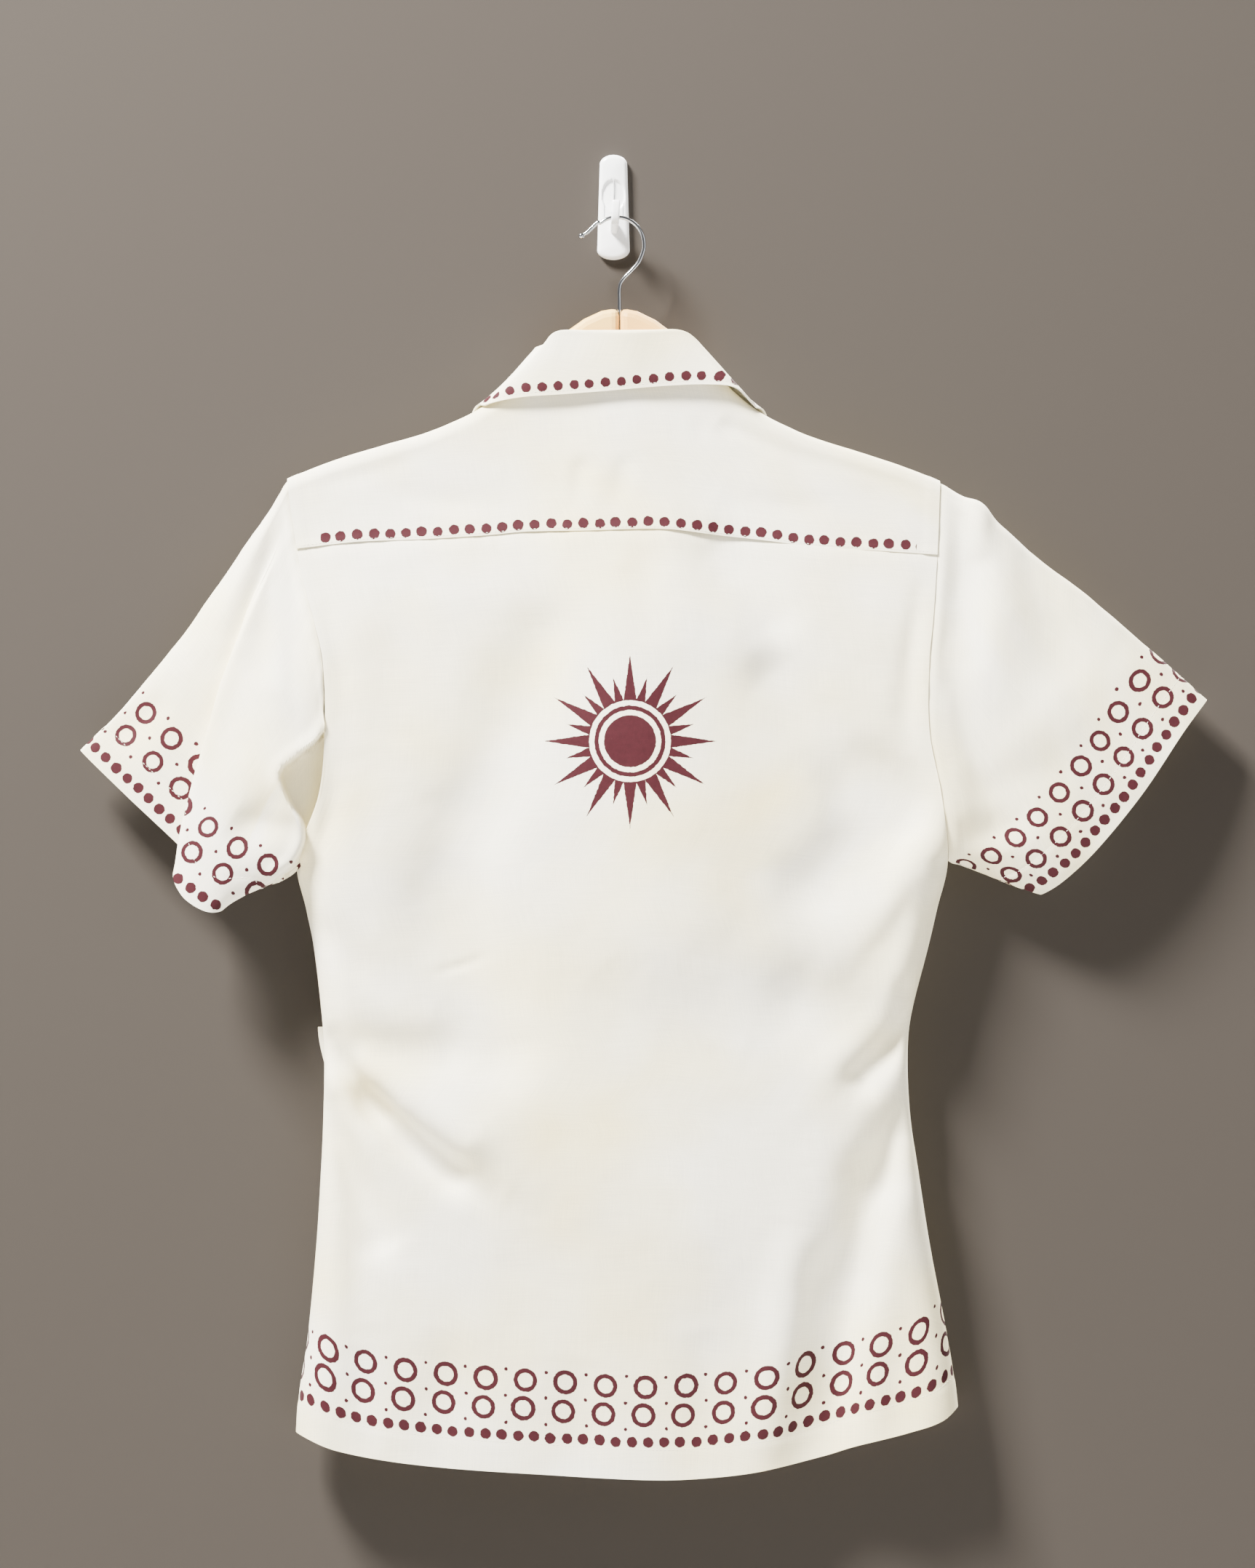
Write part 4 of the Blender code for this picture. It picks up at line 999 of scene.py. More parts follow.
def plain_weave():
    """Group: over-and-under threads, with thicker threads (slubs) here and there."""
    name = "Plain weave"
    if name in bpy.data.node_groups:
        return bpy.data.node_groups[name]
    tree, w, ins, leave = shader_group(name, [
        ("Vector", VECTOR, None), ("Thread", NUMBER, 0.5), ("Slub", NUMBER, 1.0),
    ], [("Height", NUMBER), ("Shade", NUMBER)])
    x, y, _ = w.parts(ins["vector"])
    turn_x = w.times(w.over(x, ins["thread"]), math.pi)
    turn_y = w.times(w.over(y, ins["thread"]), math.pi)
    knit = w.times(w.math("SINE", turn_x), w.math("SINE", turn_y))
    warp = w.noise(w.scaled(ins["vector"], (1.6, 0.035, 1.0)), 1.0, 2.0, 0.55)
    weft = w.noise(w.scaled(ins["vector"], (0.03, 1.7, 1.0)), 1.0, 2.0, 0.55)
    slubs = w.times(w.minus(w.plus(warp, weft), 1.0), ins["slub"])
    w.put(leave.inputs["Height"], w.plus(w.times(knit, 0.22), w.plus(slubs, 0.5)))
    w.put(leave.inputs["Shade"], w.plus(w.times(slubs, 0.22), 1.0))
    return tree


def wood_grain():
    """Group: long grain with fine pores, between a light and a dark tint."""
    name = "Wood grain"
    if name in bpy.data.node_groups:
        return bpy.data.node_groups[name]
    tree, w, ins, leave = shader_group(name, [
        ("Vector", VECTOR, None), ("Light", COLOUR, (0.8, 0.6, 0.35, 1)),
        ("Dark", COLOUR, (0.6, 0.4, 0.2, 1)),
    ], [("Color", COLOUR), ("Roughness", NUMBER), ("Height", NUMBER)])
    long_grain = w.noise(w.scaled(ins["vector"], (14, 60, 170)), 1.0, 4.0, 0.6)
    bands = w.noise(w.scaled(ins["vector"], (5, 20, 60)), 1.0, 2.0, 0.5)
    pores = w.noise(w.scaled(ins["vector"], (160, 900, 2200)), 1.0, 1.0, 0.5)
    pore = w.times(w.minus(pores, 0.62, clamp=True), 4.0, clamp=True)
    share = w.plus(w.times(w.minus(long_grain, 0.35), 0.9), w.times(w.minus(bands, 0.5), 0.8), clamp=True)
    share = w.plus(share, w.times(pore, 0.35), clamp=True)
    w.put(leave.inputs["Color"], w.blend(share, ins["light"], ins["dark"]))
    w.put(leave.inputs["Roughness"], w.plus(0.34, w.times(share, 0.16)))
    w.put(leave.inputs["Height"], w.minus(0.5, w.times(pore, 0.5)))
    return tree


def fine_surface():
    """Group: the small unevenness of moulded, polished or rubbed surfaces."""
    name = "Fine surface"
    if name in bpy.data.node_groups:
        return bpy.data.node_groups[name]
    tree, w, ins, leave = shader_group(name, [
        ("Vector", VECTOR, None), ("Low", NUMBER, 0.2), ("High", NUMBER, 0.4),
    ], [("Roughness", NUMBER), ("Height", NUMBER), ("Dust", NUMBER)])
    large = w.noise(ins["vector"], 90.0, 3.0, 0.6)
    small = w.noise(ins["vector"], 1400.0, 2.0, 0.5)
    spread = w.minus(ins["high"], ins["low"])
    w.put(leave.inputs["Roughness"], w.plus(ins["low"], w.times(spread, large)))
    w.put(leave.inputs["Height"], small)
    w.put(leave.inputs["Dust"], w.minus(large, 0.45, clamp=True))
    return tree


def start_material(name, roughness=0.5):
    made = bpy.data.materials.new(name)
    made.use_nodes = True
    wires = Wiring(made.node_tree)
    shader = made.node_tree.nodes["Principled BSDF"]
    shader.inputs["Roughness"].default_value = roughness
    return made, wires, shader


def bump(wires, shader, height, strength, distance):
    made = wires.node("ShaderNodeBump")
    made.inputs["Strength"].default_value = strength
    made.inputs["Distance"].default_value = distance
    wires.put(made.inputs["Height"], height)
    wires.put(shader.inputs["Normal"], made.outputs[0])


def cotton_finish(name, print_kind="none"):
    """Cotton for one kind of piece: plain, or with the print of the hem, a cuff, collar, yoke or back."""
    if name in bpy.data.materials:
        return bpy.data.materials[name]
    scene = bpy.context.scene
    cloth, ink = scene.shirt_cloth, scene.shirt_print
    made, w, shader = start_material(name, 0.82)
    shader.inputs["Sheen Weight"].default_value = 0.05
    shader.inputs["Sheen Roughness"].default_value = 0.5
    shader.inputs["Specular IOR Level"].default_value = 0.16
    weave_map = w.node("ShaderNodeUVMap", uv_map="weave").outputs[0]
    weave_mm = w.scaled(weave_map, (1000, 1000, 1000))
    threads = w.group(plain_weave(), vector=weave_mm, thread=0.42, slub=1.0)
    tint = w.noise(weave_mm, 0.0075, 2.0, 0.5)
    colour = w.blend(w.math("MULTIPLY_ADD", tint, 3.0, -1.15, clamp=True),
                     (*cloth.cotton, 1), (*cloth.cotton_warm, 1))
    shade = w.node("ShaderNodeMix", data_type="RGBA", blend_type="MULTIPLY")
    shade.inputs[0].default_value = 1.0
    w.put(shade.inputs[6], colour)
    w.put(shade.inputs[7], w.vector(*[threads["Shade"]] * 3))
    colour = shade.outputs[2]
    rough = 0.82
    if print_kind != "none":
        print_map = w.node("ShaderNodeUVMap", uv_map="print").outputs[0]
        along, up, _ = w.parts(w.scaled(print_map, (1000, 1000, 1000)))
        within = w.math("GREATER_THAN", up, INSIDE_SHIFT * TO_MM / 2)
        up = w.minus(up, w.times(within, INSIDE_SHIFT * TO_MM))
        uneven = ink.unevenness * TO_MM
        if print_kind in ("hem", "back", "left", "right"):
            border = BORDERS["hem" if print_kind == "back" else print_kind]._asdict()
            border["ring_line"] += (ink.ring_line - RING_LINE) * TO_MM
            mask = w.group(printed_border(), along=along, up=up, unevenness=uneven, **border)[0]
        else:
            mask = w.group(printed_row(), along=along, up=up, unevenness=uneven, **DOT_ROWS[print_kind])[0]
        if print_kind == "back":
            place = w.node("ShaderNodeTexCoord").outputs["Object"]
            x, _, z = w.parts(w.scaled(place, (1000, 1000, 1000)))
            sun = w.group(printed_sun(), across=w.minus(x, ink.sun_place[0] * TO_MM),
                          up=w.minus(z, ink.sun_place[2] * TO_MM),
                          reach=ink.sun_reach * TO_MM, unevenness=uneven)[0]
            mask = w.math("MAXIMUM", mask, sun)
        faint = w.math("MULTIPLY_ADD", within, -0.82, 1.0)
        gaps = w.math("MULTIPLY_ADD", w.noise(weave_mm, 1.9, 2.0, 0.6), 0.30, 0.90, clamp=True)
        mask = w.times(mask, w.times(faint, gaps))
        mottle = w.noise(weave_mm, 0.30, 3.0, 0.6)
        ink_colour = w.blend(w.math("MULTIPLY_ADD", mottle, 1.6, -0.4, clamp=True),
                             (ink.ink[0] * 0.86, ink.ink[1] * 0.8, ink.ink[2] * 0.85, 1),
                             (ink.ink[0] * 1.22, ink.ink[1] * 1.5, ink.ink[2] * 1.35, 1))
        colour = w.blend(mask, colour, ink_colour)
        rough = w.math("MULTIPLY_ADD", mask, -0.14, 0.82)
    w.put(shader.inputs["Base Color"], colour)
    w.put(shader.inputs["Roughness"], rough)
    bump(w, shader, threads["Height"], 0.35, 0.00012)
    return made


def wood_finish(name, tint):
    if name in bpy.data.materials:
        return bpy.data.materials[name]
    made, w, shader = start_material(name)
    shader.inputs["Coat Weight"].default_value = 0.25
    shader.inputs["Coat Roughness"].default_value = 0.2
    place = w.node("ShaderNodeTexCoord").outputs["Object"]
    grain = w.group(wood_grain(), vector=place, light=(*tint, 1),
                    dark=(tint[0] * 0.78, tint[1] * 0.66, tint[2] * 0.55, 1))
    w.put(shader.inputs["Base Color"], grain["Color"])
    w.put(shader.inputs["Roughness"], grain["Roughness"])
    bump(w, shader, grain["Height"], 0.25, 0.0002)
    return made


def smooth_finish(name, colour, low, high, metallic=0.0, coat=0.0, dust=0.25):
    """Chrome, moulded plastic or shell: an even colour with a fine, slightly uneven gloss."""
    if name in bpy.data.materials:
        return bpy.data.materials[name]
    made, w, shader = start_material(name)
    shader.inputs["Metallic"].default_value = metallic
    shader.inputs["Coat Weight"].default_value = coat
    shader.inputs["Coat Roughness"].default_value = 0.08
    place = w.node("ShaderNodeTexCoord").outputs["Object"]
    surface = w.group(fine_surface(), vector=place, low=low, high=high)
    dull = tuple(c * 0.86 for c in colour)
    w.put(shader.inputs["Base Color"], w.blend(w.times(surface["Dust"], dust * 4, clamp=True),
                                               (*colour, 1), (*dull, 1)))
    w.put(shader.inputs["Roughness"], surface["Roughness"])
    bump(w, shader, surface["Height"], 0.08, 0.00005)
    return made


def plain_finish(name, colour, one_sided=False):
    """Finish of the stage. A one-sided face isn't seen from behind, and casts no shadow."""
    made, w, shader = start_material(name, 0.9)
    soft = w.noise(w.node("ShaderNodeTexCoord").outputs["Object"], 3.0, 2.0, 0.5)
    w.put(shader.inputs["Base Color"], w.blend(soft, (*[c * 0.97 for c in colour], 1), (*colour, 1)))
    if one_sided:
        clear = w.node("ShaderNodeBsdfTransparent")
        pick = w.node("ShaderNodeMixShader")
        behind = w.node("ShaderNodeNewGeometry").outputs["Backfacing"]
        shadow = w.node("ShaderNodeLightPath").outputs["Is Shadow Ray"]
        w.put(pick.inputs[0], w.math("MAXIMUM", behind, shadow))
        w.put(pick.inputs[1], shader.outputs[0])
        w.put(pick.inputs[2], clear.outputs[0])
        leave = next(n for n in made.node_tree.nodes if n.type == "OUTPUT_MATERIAL")
        w.put(leave.inputs["Surface"], pick.outputs[0])
    return made


def make_stage(stage):
    scene = bpy.context.scene
    middle = Vector(stage.view_middle)
    camera = bpy.data.cameras.new("camera")
    camera.sensor_width = 36.0
    camera.lens = 36.0 * stage.camera_away / stage.view_high
    camera.clip_end = 60.0
    eye = link(bpy.data.objects.new("camera", camera))
    eye.location = middle - Vector((0, stage.camera_away, 0))
    eye.rotation_euler = (math.pi / 2, 0, 0)
    scene.camera = eye

    def sheet(name, corners, finish):
        made = new_mesh(name, corners, [(0, 1, 2, 3)], finish)

    low = stage.floor_height
    sheet("wall", [(-7, 0.0008, low), (7, 0.0008, low), (7, 0.0008, 5), (-7, 0.0008, 5)],
          plain_finish("wall_paint", stage.wall_colour, one_sided=True))
    sheet("floor", [(-9, -9, low), (9, -9, low), (9, 9, low), (-9, 9, low)],
          plain_finish("floor_paint", stage.floor_colour, one_sided=True))

    def light(name, place, size, power, tint=(1, 1, 1)):
        lamp = bpy.data.lights.new(name, "AREA")
        lamp.shape = "RECTANGLE"
        lamp.size, lamp.size_y = size
        lamp.energy = power
        lamp.color = tint
        made = link(bpy.data.objects.new(name, lamp))
        made.location = place
        aim = Vector((0, 0, -0.42)) - made.location
        made.rotation_euler = aim.to_track_quat("-Z", "Y").to_euler()
        made.visible_camera = False

    light("key", Vector((-1.6, -1.4, 2.3)), (0.9, 0.7), 1000, (1.0, 0.97, 0.92))
    light("fill", Vector((2.4, -2.6, 0.2)), (2.4, 2.4), 34, (0.97, 0.98, 1.0))
    light("back_key", Vector((1.5, 1.9, 2.3)), (1.1, 0.8), 560, (1.0, 0.97, 0.92))
    light("back_fill", Vector((-2.2, 2.4, 0.0)), (2.2, 2.2), 40, (0.97, 0.98, 1.0))

    world = bpy.data.worlds.new("studio")
    world.use_nodes = True
    world.node_tree.nodes["Background"].inputs[0].default_value = (0.86, 0.87, 0.88, 1)
    world.node_tree.nodes["Background"].inputs[1].default_value = 0.23
    scene.world = world


def keep(made, slot, *nodes):
    """Puts a piece on the body that it rides on and hides the nodes that it stands for. slot is not used.
    """
    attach(made, BODY)
    if nodes:
        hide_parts(*nodes)
    return made


def side_steps(width, steps, middle, both=True):
    """Grid lines across a panel: close together in its rounded side, even in between."""
    turns = np.radians(np.linspace(0, 90, steps + 1))
    edge = SIDE_ROUND * (1 - np.cos(turns)) / width
    stop = 1 - edge[-1] if both else 1.0
    inside = np.linspace(edge[-1], stop, middle + 1)[1:]
    if both:
        return np.concatenate([edge, inside, 1 - edge[::-1][1:]])
    return np.concatenate([edge, inside])


def lines_between(places, counts):
    """Grid lines from place to place, with a count for each stretch."""
    stretches = [np.linspace(a, b, n)[:-1] for a, b, n in zip(places, places[1:], counts)]
    return np.append(np.concatenate(stretches), places[-1])


def line_at(points, outward, field, value):
    """Where a field has a value on each column of a grid: the places, and the outward normals there."""
    normals = grid_normals(points) * outward
    found = []
    for column in range(points.shape[1]):
        order = np.argsort(field[:, column])
        known = field[order, column]
        row = np.concatenate([points[order, column], normals[order, column]], -1)
        if known[0] <= value <= known[-1]:
            found.append([np.interp(value, known, row[:, k]) for k in range(6)])
    found = np.array(found)
    return found[:, :3], unit(found[:, 3:])


def sew(name, lines, pitch=STITCH_PITCH, long=STITCH_LONG, radius=STITCH_RADIUS):
    """Rows of small raised stitches along lines of places and normals."""
    corners, faces = [], []
    for places, normals in lines:
        run = np.concatenate([[0], np.cumsum(np.linalg.norm(np.diff(places, axis=0), axis=1))])
        at = np.arange(pitch / 2, run[-1], pitch)
        if len(at) < 2:
            continue
        middle = np.stack([np.interp(at, run, places[:, k]) for k in range(3)], -1)
        up = unit(np.stack([np.interp(at, run, normals[:, k]) for k in range(3)], -1))
        along = unit(np.gradient(middle, axis=0))
        side = unit(np.cross(up, along))
        ring = [(1, 0.0), (0, 1.1), (-1, 0.0), (0, -0.7)]
        shape = [middle - along * long / 2 - up * radius * 0.8]
        for share in (-0.26, 0.26):
            shape += [middle + along * long * share + side * radius * a + up * radius * b for a, b in ring]
        shape.append(middle + along * long / 2 - up * radius * 0.8)
        first = sum(len(block) for block in corners) + 10 * np.arange(len(at))[:, None]
        corners.append(np.stack(shape, 1).reshape(-1, 3))
        for k in range(4):
            nxt = (k + 1) % 4
            faces += (first + [0, 1 + k, 1 + nxt]).tolist()
            faces += (first + [1 + k, 5 + k, 5 + nxt, 1 + nxt]).tolist()
            faces += (first + [9, 5 + nxt, 5 + k]).tolist()
    made = new_mesh(name, np.concatenate(corners) * MM, faces, thread_finish())
    return keep(made, "cotton")


def make_back(cloth):
    across = side_steps(BODY_WIDE, 9, 128)
    down = np.concatenate([[-0.011, -0.006, -0.002], np.linspace(0, 1, 205)])
    a, b = np.meshgrid(across, down)
    x = mix(*BACK_GUESS, a)
    for _ in range(3):
        z = mix(read_curve(YOKE_SEAM, x), read_curve(HEM, x), b)
        x = mix(edge_x(-1, z), edge_x(1, z), a)
    points = np.stack([x, layer_y(-1, x, z), z], -1)
    along, from_hem = edge_coordinates(points, points[-1])
    middle = np.argmin(np.abs(x[-1] - HEM_PRINT_X))
    print_run = lengths(points, 1)
    print_run = print_run - print_run[:, middle:middle + 1] + x[:, middle:middle + 1] - HEM_PRINT_X
    sides = away_from_sides(points, 16.0)
    below = read_curve(YOKE_SEAM, x) - z
    height = crease_height(BACK_CREASES, x, z) * sides
    soft = cloth.crumple * TO_MM
    height += (unevenness(x, z * 0.8, 74, 3.1) * 2.6 + unevenness(x, z, 27, 5.7) * soft) * soft * sides
    height += unevenness(x, z, 9.5, 8.3) * 0.16 * away_from_sides(points, 5.0)
    height += hem_relief(from_hem, cloth.hem_deep * TO_MM)
    height += puckers(along, from_hem - HEM_PUCKERS_UP, 2.0)
    height += puckers(along, below, 9.0, pitch=10.0, high=0.3, wide=10.0) * sides
    height -= 0.8 * np.exp(-(np.maximum(below, 0) / 3.5) ** 2) + 0.6 * (below < -0.5)
    points = displaced(points, -1, height)
    thick = hem_thickness(cloth, cloth.hem_deep, from_hem, 0.5)
    print_map = np.stack([print_run, from_hem], -1) * MM
    made = cloth_object("back_cloth", points, -1, thick, print_map, cotton_finish("cotton_back", "back"))
    keep(made, "cotton", "back")
    inner = points[:, 3:-3]
    sew("back_stitches", [line_at(inner, -1, from_hem[:, 3:-3], cloth.hem_deep * TO_MM)])


def make_yoke(cloth):
    def path_point(x, a):
        """Points at a share a of the way from the back seam over the crest to the front seam."""
        cosine = steepness(x)
        axis_z = crest_z(x) - CREST_RADIUS / cosine
        low_z = mix(read_curve(YOKE_SEAM, x), axis_z, np.clip(a / YOKE_CREST_START, 0, 1))
        turn = np.pi * np.clip((a - YOKE_CREST_START) / (YOKE_CREST_STOP - YOKE_CREST_START), 0, 1)
        front_z = axis_z - FRONT_SEAM_DROP * np.clip((a - YOKE_CREST_STOP) / (1 - YOKE_CREST_STOP), 0, 1)
        on_back, on_crest = a < YOKE_CREST_START, a < YOKE_CREST_STOP
        over_z = axis_z + CREST_RADIUS / cosine * np.sin(turn)
        z = np.where(on_back, low_z, np.where(on_crest, over_z, front_z))
        y = np.where(on_back, layer_y(-1, x, low_z),
                     np.where(on_crest, MID_Y - CREST_RADIUS * np.cos(turn), layer_y(1, x, front_z)))
        return np.stack([x, y, z], -1)

    def path_end(x):
        out = np.abs(x - HANGER_X)
        axis_z = crest_z(x) - CREST_RADIUS / steepness(x)
        seam = read_curve(YOKE_SEAM, x)
        neck = YOKE_CREST_START * np.minimum((NECK_BACK_Z - seam) / (axis_z - seam), 1.0)
        return mix(neck, 1.0, ease((out - NECK_HALF + NECK_TURN) / (2 * NECK_TURN)))

    across = np.linspace(0, 1, 199)
    down = lines_between((0, YOKE_CREST_START, YOKE_CREST_STOP, 1), (44, 17, 4))
    a, b = np.meshgrid(across, down)
    guess = mix(*YOKE_GUESS, a)
    for _ in range(2):
        z = path_point(guess, b * path_end(guess))[..., 2]
        guess = mix(edge_x(-1, z), edge_x(1, z), a)
    points = path_point(guess, b * path_end(guess))
    x, _, z = np.moveaxis(points, -1, 0)
    along, from_seam = edge_coordinates(points, points[0])
    ends = away_from_sides(points, 10.0)
    flat_back = ease((YOKE_CREST_START - b) / 0.12)
    height = crease_height(YOKE_CREASES, x, z) * ends * flat_back
    height += unevenness(x, z, 40, 1.7) * 0.5 * ends * flat_back + unevenness(x, z, 12, 4.2) * 0.14
    height += puckers(along, from_seam, 7.0, pitch=9.0, high=0.25, wide=9.0) * ends
    height += 0.35 * np.exp(-((from_seam - 1.5) / 3.0) ** 2)
    to_arm = np.minimum(x - edge_x(-1, z), edge_x(1, z) - x)
    height += 0.4 * ease((cloth.seam_allowance * TO_MM - to_arm) / 1.5 + 1) * (to_arm < 12)
    points = displaced(points, 1, height)
    print_map = np.stack([along, from_seam], -1) * MM
    made = cloth_object("yoke_cloth", points, 1, cloth.thickness * TO_MM, print_map,
                        cotton_finish("cotton_yoke", "yoke"))
    keep(made, "cotton", "yoke")
    sew("yoke_stitches", [line_at(points[:40, 2:-2], 1, from_seam[:40, 2:-2], 1.6)])


def front_relief(side, x, z, cloth):
    """Height of the creases and of the uneven surface of a front, which the pocket shares."""
    soft = cloth.crumple * TO_MM
    rough = unevenness(x, z * 0.8, 66, 12.1 + side) * 2.2 + unevenness(x, z, 25, 2.7 + side) * soft
    return crease_height(FRONT_CREASES, x, z) + rough * soft


def make_front(name, side, cloth):
    over = side < 0
    centre = CENTRE_X + OVERLAP * (1 if over else -1)

    def top_z(x):
        out = np.abs(x - HANGER_X)
        seam = crest_z(x) - CREST_RADIUS / steepness(x) - FRONT_SEAM_DROP
        turn = NECK_HALF + NECK_TURN
        foot = crest_z(HANGER_X + side * turn) - CREST_RADIUS - FRONT_SEAM_DROP - NECK_FOOT_DROP
        return np.where(out >= turn, seam, mix(NECK_FRONT_Z, foot, np.clip(out / turn, 0, 1) ** NECK_CURVE))

    across = side_steps(BODY_WIDE / 2, 8, 56, both=False)
    down = np.concatenate([[-0.008, -0.004, -0.001], np.linspace(0, 1, 170)])
    a, b = np.meshgrid(across, down)
    x = mix(FRONT_GUESS * side, centre, a)
    for _ in range(3):
        hem = read_curve(HEM, x) + FRONT_HEM_LIFT * (1 - (x / FRONT_HEM_HALF) ** 2)
        z = mix(top_z(x), hem, b)
        x = mix(edge_x(side, z), centre, a)
    lift = overlap_lift(x) if over else 0.0
    points = np.stack([x, layer_y(1, x, z) + lift, z], -1)
    along, from_hem = edge_coordinates(points, points[-1])
    outer_side = ease(lengths(points, 1) / 14.0)
    height = front_relief(side, x, z, cloth) * outer_side
    height *= 1 - 0.8 * ease((np.abs(x - CENTRE_X) - OVERLAP) / -6.0 + 1)
    height += unevenness(x, z, 9.5, 6.3) * 0.14 * outer_side
    height += hem_relief(from_hem, cloth.hem_deep * TO_MM) + puckers(along, from_hem - HEM_PUCKERS_UP, 3.0)
    from_centre = np.abs(x - centre)
    facing = 0.3 * ease((FACING + 0.6 - from_centre) / 1.2) - 0.4 * np.exp(-(from_centre - FACING) ** 2)
    height += facing * (1 if over else 0.4)
    height -= 0.5 * (b < -0.0005)
    points = displaced(points, -side, height)
    thick = hem_thickness(cloth, cloth.hem_deep, from_hem, 0.5)
    run = lengths(points, 1)
    run = -LEFT_HEM_RUN - run if side < 0 else RIGHT_HEM_RUN + run
    print_map = np.stack([run, from_hem], -1) * MM
    made = cloth_object(name + "_cloth", points, -side, thick, print_map,
                        cotton_finish("cotton_front", "hem"))
    keep(made, "cotton", name)
    lines = [line_at(points[:, 3:], -side, from_hem[:, 3:], cloth.hem_deep * TO_MM)]
    for inset in ((2.0, 30.0) if over else (2.0,)):
        turned = np.swapaxes(points[4:-6], 0, 1)
        lines.append(line_at(turned, side, from_centre[4:-6].T, inset))
    sew(name + "_stitches", lines)


def armhole(side, share):
    """Points on the armhole's seam: share 0 and 1 is the shoulder, 0.5 the underarm."""
    top_x = edge_x(side, crest_z(np.array(side * 220.0)))
    z = mix(crest_z(top_x), UNDERARM_Z, (1 - np.cos(2 * np.pi * share)) / 2)
    x = edge_x(side, z)
    back = share % 1 < 0.5
    y = np.where(back, MID_Y - half_depth(-1, x, z), MID_Y + half_depth(1, x, z))
    return np.stack([x, y, z], -1)


def beside_line(line, x, z):
    """Run along a smooth line of (x, z), distance from it, and side of it, for places on the cloth."""
    flat = read_chain([(a, 0.0, b) for a, b in line], np.linspace(0, len(line) - 1, 160))[:, ::2]
    run = np.concatenate([[0], np.cumsum(np.hypot(*np.diff(flat, axis=0).T))])
    best, found, side = np.full(np.shape(x), np.inf), np.zeros(np.shape(x)), np.zeros(np.shape(x))
    for k in range(len(flat) - 1):
        step = flat[k + 1] - flat[k]
        away_x, away_z = x - flat[k, 0], z - flat[k, 1]
        share = np.clip((away_x * step[0] + away_z * step[1]) / (step @ step), 0, 1)
        off = np.hypot(away_x - share * step[0], away_z - share * step[1])
        better = off < best
        best = np.where(better, off, best)
        found = np.where(better, mix(run[k], run[k + 1], share), found)
        side = np.where(better, np.sign(step[0] * away_z - step[1] * away_x), side)
    return found, best, side


def set_back_underarm(points, arm):
    """Pushes the left sleeve's cloth away from the viewer where it shows past the folded part's edge."""
    x, y, z = np.moveaxis(points, -1, 0)
    _, off, side = beside_line(FOLDED_EDGE, x, z)
    past = ease((off * side + 1.0) / 2.6)
    lip = np.exp(-((off * side + 3.5) / 4.0) ** 2)
    here = ease((arm - 0.20) / 0.05) * ease((0.50 - arm) / 0.04) * ease(lengths(points, 0) / 7.0)
    deeper = np.maximum(-36.0 - y, 0) * past * here
    return np.stack([x + 1.5 * lip * here, y + deeper - 2.0 * lip * here, z], -1)


def make_sleeve(name, side, lines, creases, cloth):
    count = len(lines)
    feet = [(row.x, row.y, row.z) for row in lines]
    bows = [(row.bow_x, row.bow_y, row.bow_z) for row in lines]
    arms = [(i, row.arm) for i, row in enumerate(lines)] + [(count, 1.0)]
    across = np.linspace(0, 1, SLEEVE_ROUND * count + 1)
    down = np.linspace(0, 1, 92)
    a, b = np.meshgrid(across, down)
    at = a * count
    start = armhole(side, read_curve(arms, at))
    foot = read_chain(feet, at % count, closed=True)
    bow = read_chain(bows, at % count, closed=True)
    points = mix(start, foot, b[..., None]) + bow * (4 * b * (1 - b))[..., None]
    if side < 0:
        points = set_back_underarm(points, read_curve(arms, at))
    normals = grid_normals(points, closed=True) * side
    x, y, z = np.moveaxis(points, -1, 0)
    along, from_cuff = edge_coordinates(points, points[-1], closed=True)
    from_arm = lengths(points, 0)
    fade = ease(from_arm / 12.0) * ease(from_cuff / 10.0 + 0.25)
    faces_back = ease(-normals[..., 1] * 1.6)
    height = crease_height(creases, x, z) * fade * mix(0.7, 1.0, faces_back)
    soft = cloth.crumple * TO_MM
    height += unevenness(x + y * 0.7, z, 48, 21.0 + side) * 1.8 * soft * fade
    height += unevenness(x + y * 0.7, z, 17, 31.0 + side) * 0.5 * soft * fade
    height += unevenness(x + y, z, 8, 11.0) * 0.12 * ease(from_arm / 6.0)
    height += hem_relief(from_cuff, cloth.cuff_deep * TO_MM) * 0.6
    height += puckers(lengths(points, 1), from_arm, 14.0 + side, pitch=11.0, high=0.5, wide=14.0)
    height -= 0.9 * np.exp(-(from_arm / 3.0) ** 2)
    points = displaced(points, side, height, closed=True)
    points[:, -1] = points[:, 0]
    thick = hem_thickness(cloth, cloth.cuff_deep, from_cuff, 0.4)
    hem_distance = from_cuff
    if side < 0:
        share_here = read_curve(arms, at)
        folded = (share_here > FOLDED_SHARES[0]) & (share_here < FOLDED_SHARES[1])
        folded_along, folded_up, _ = beside_line(FOLDED_CUFF, x, z)
        first, pitch, place = FOLDED_PRINT
        folded_along = (folded_along - first) / pitch * BORDERS["left"].ring_pitch + place
        along = np.where(folded, folded_along, along)
        from_cuff = np.where(folded, folded_up, from_cuff)
    print_map = np.stack([along, from_cuff], -1) * MM
    kind = "left" if side < 0 else "right"
    made = cloth_object(name + "_cloth", points, side, thick, print_map,
                        cotton_finish("cotton_cuff_" + kind, kind), closed=True)
    keep(made, "cotton", name)
    sew(name + "_stitches", [line_at(points, side, hem_distance, cloth.cuff_deep * TO_MM)])


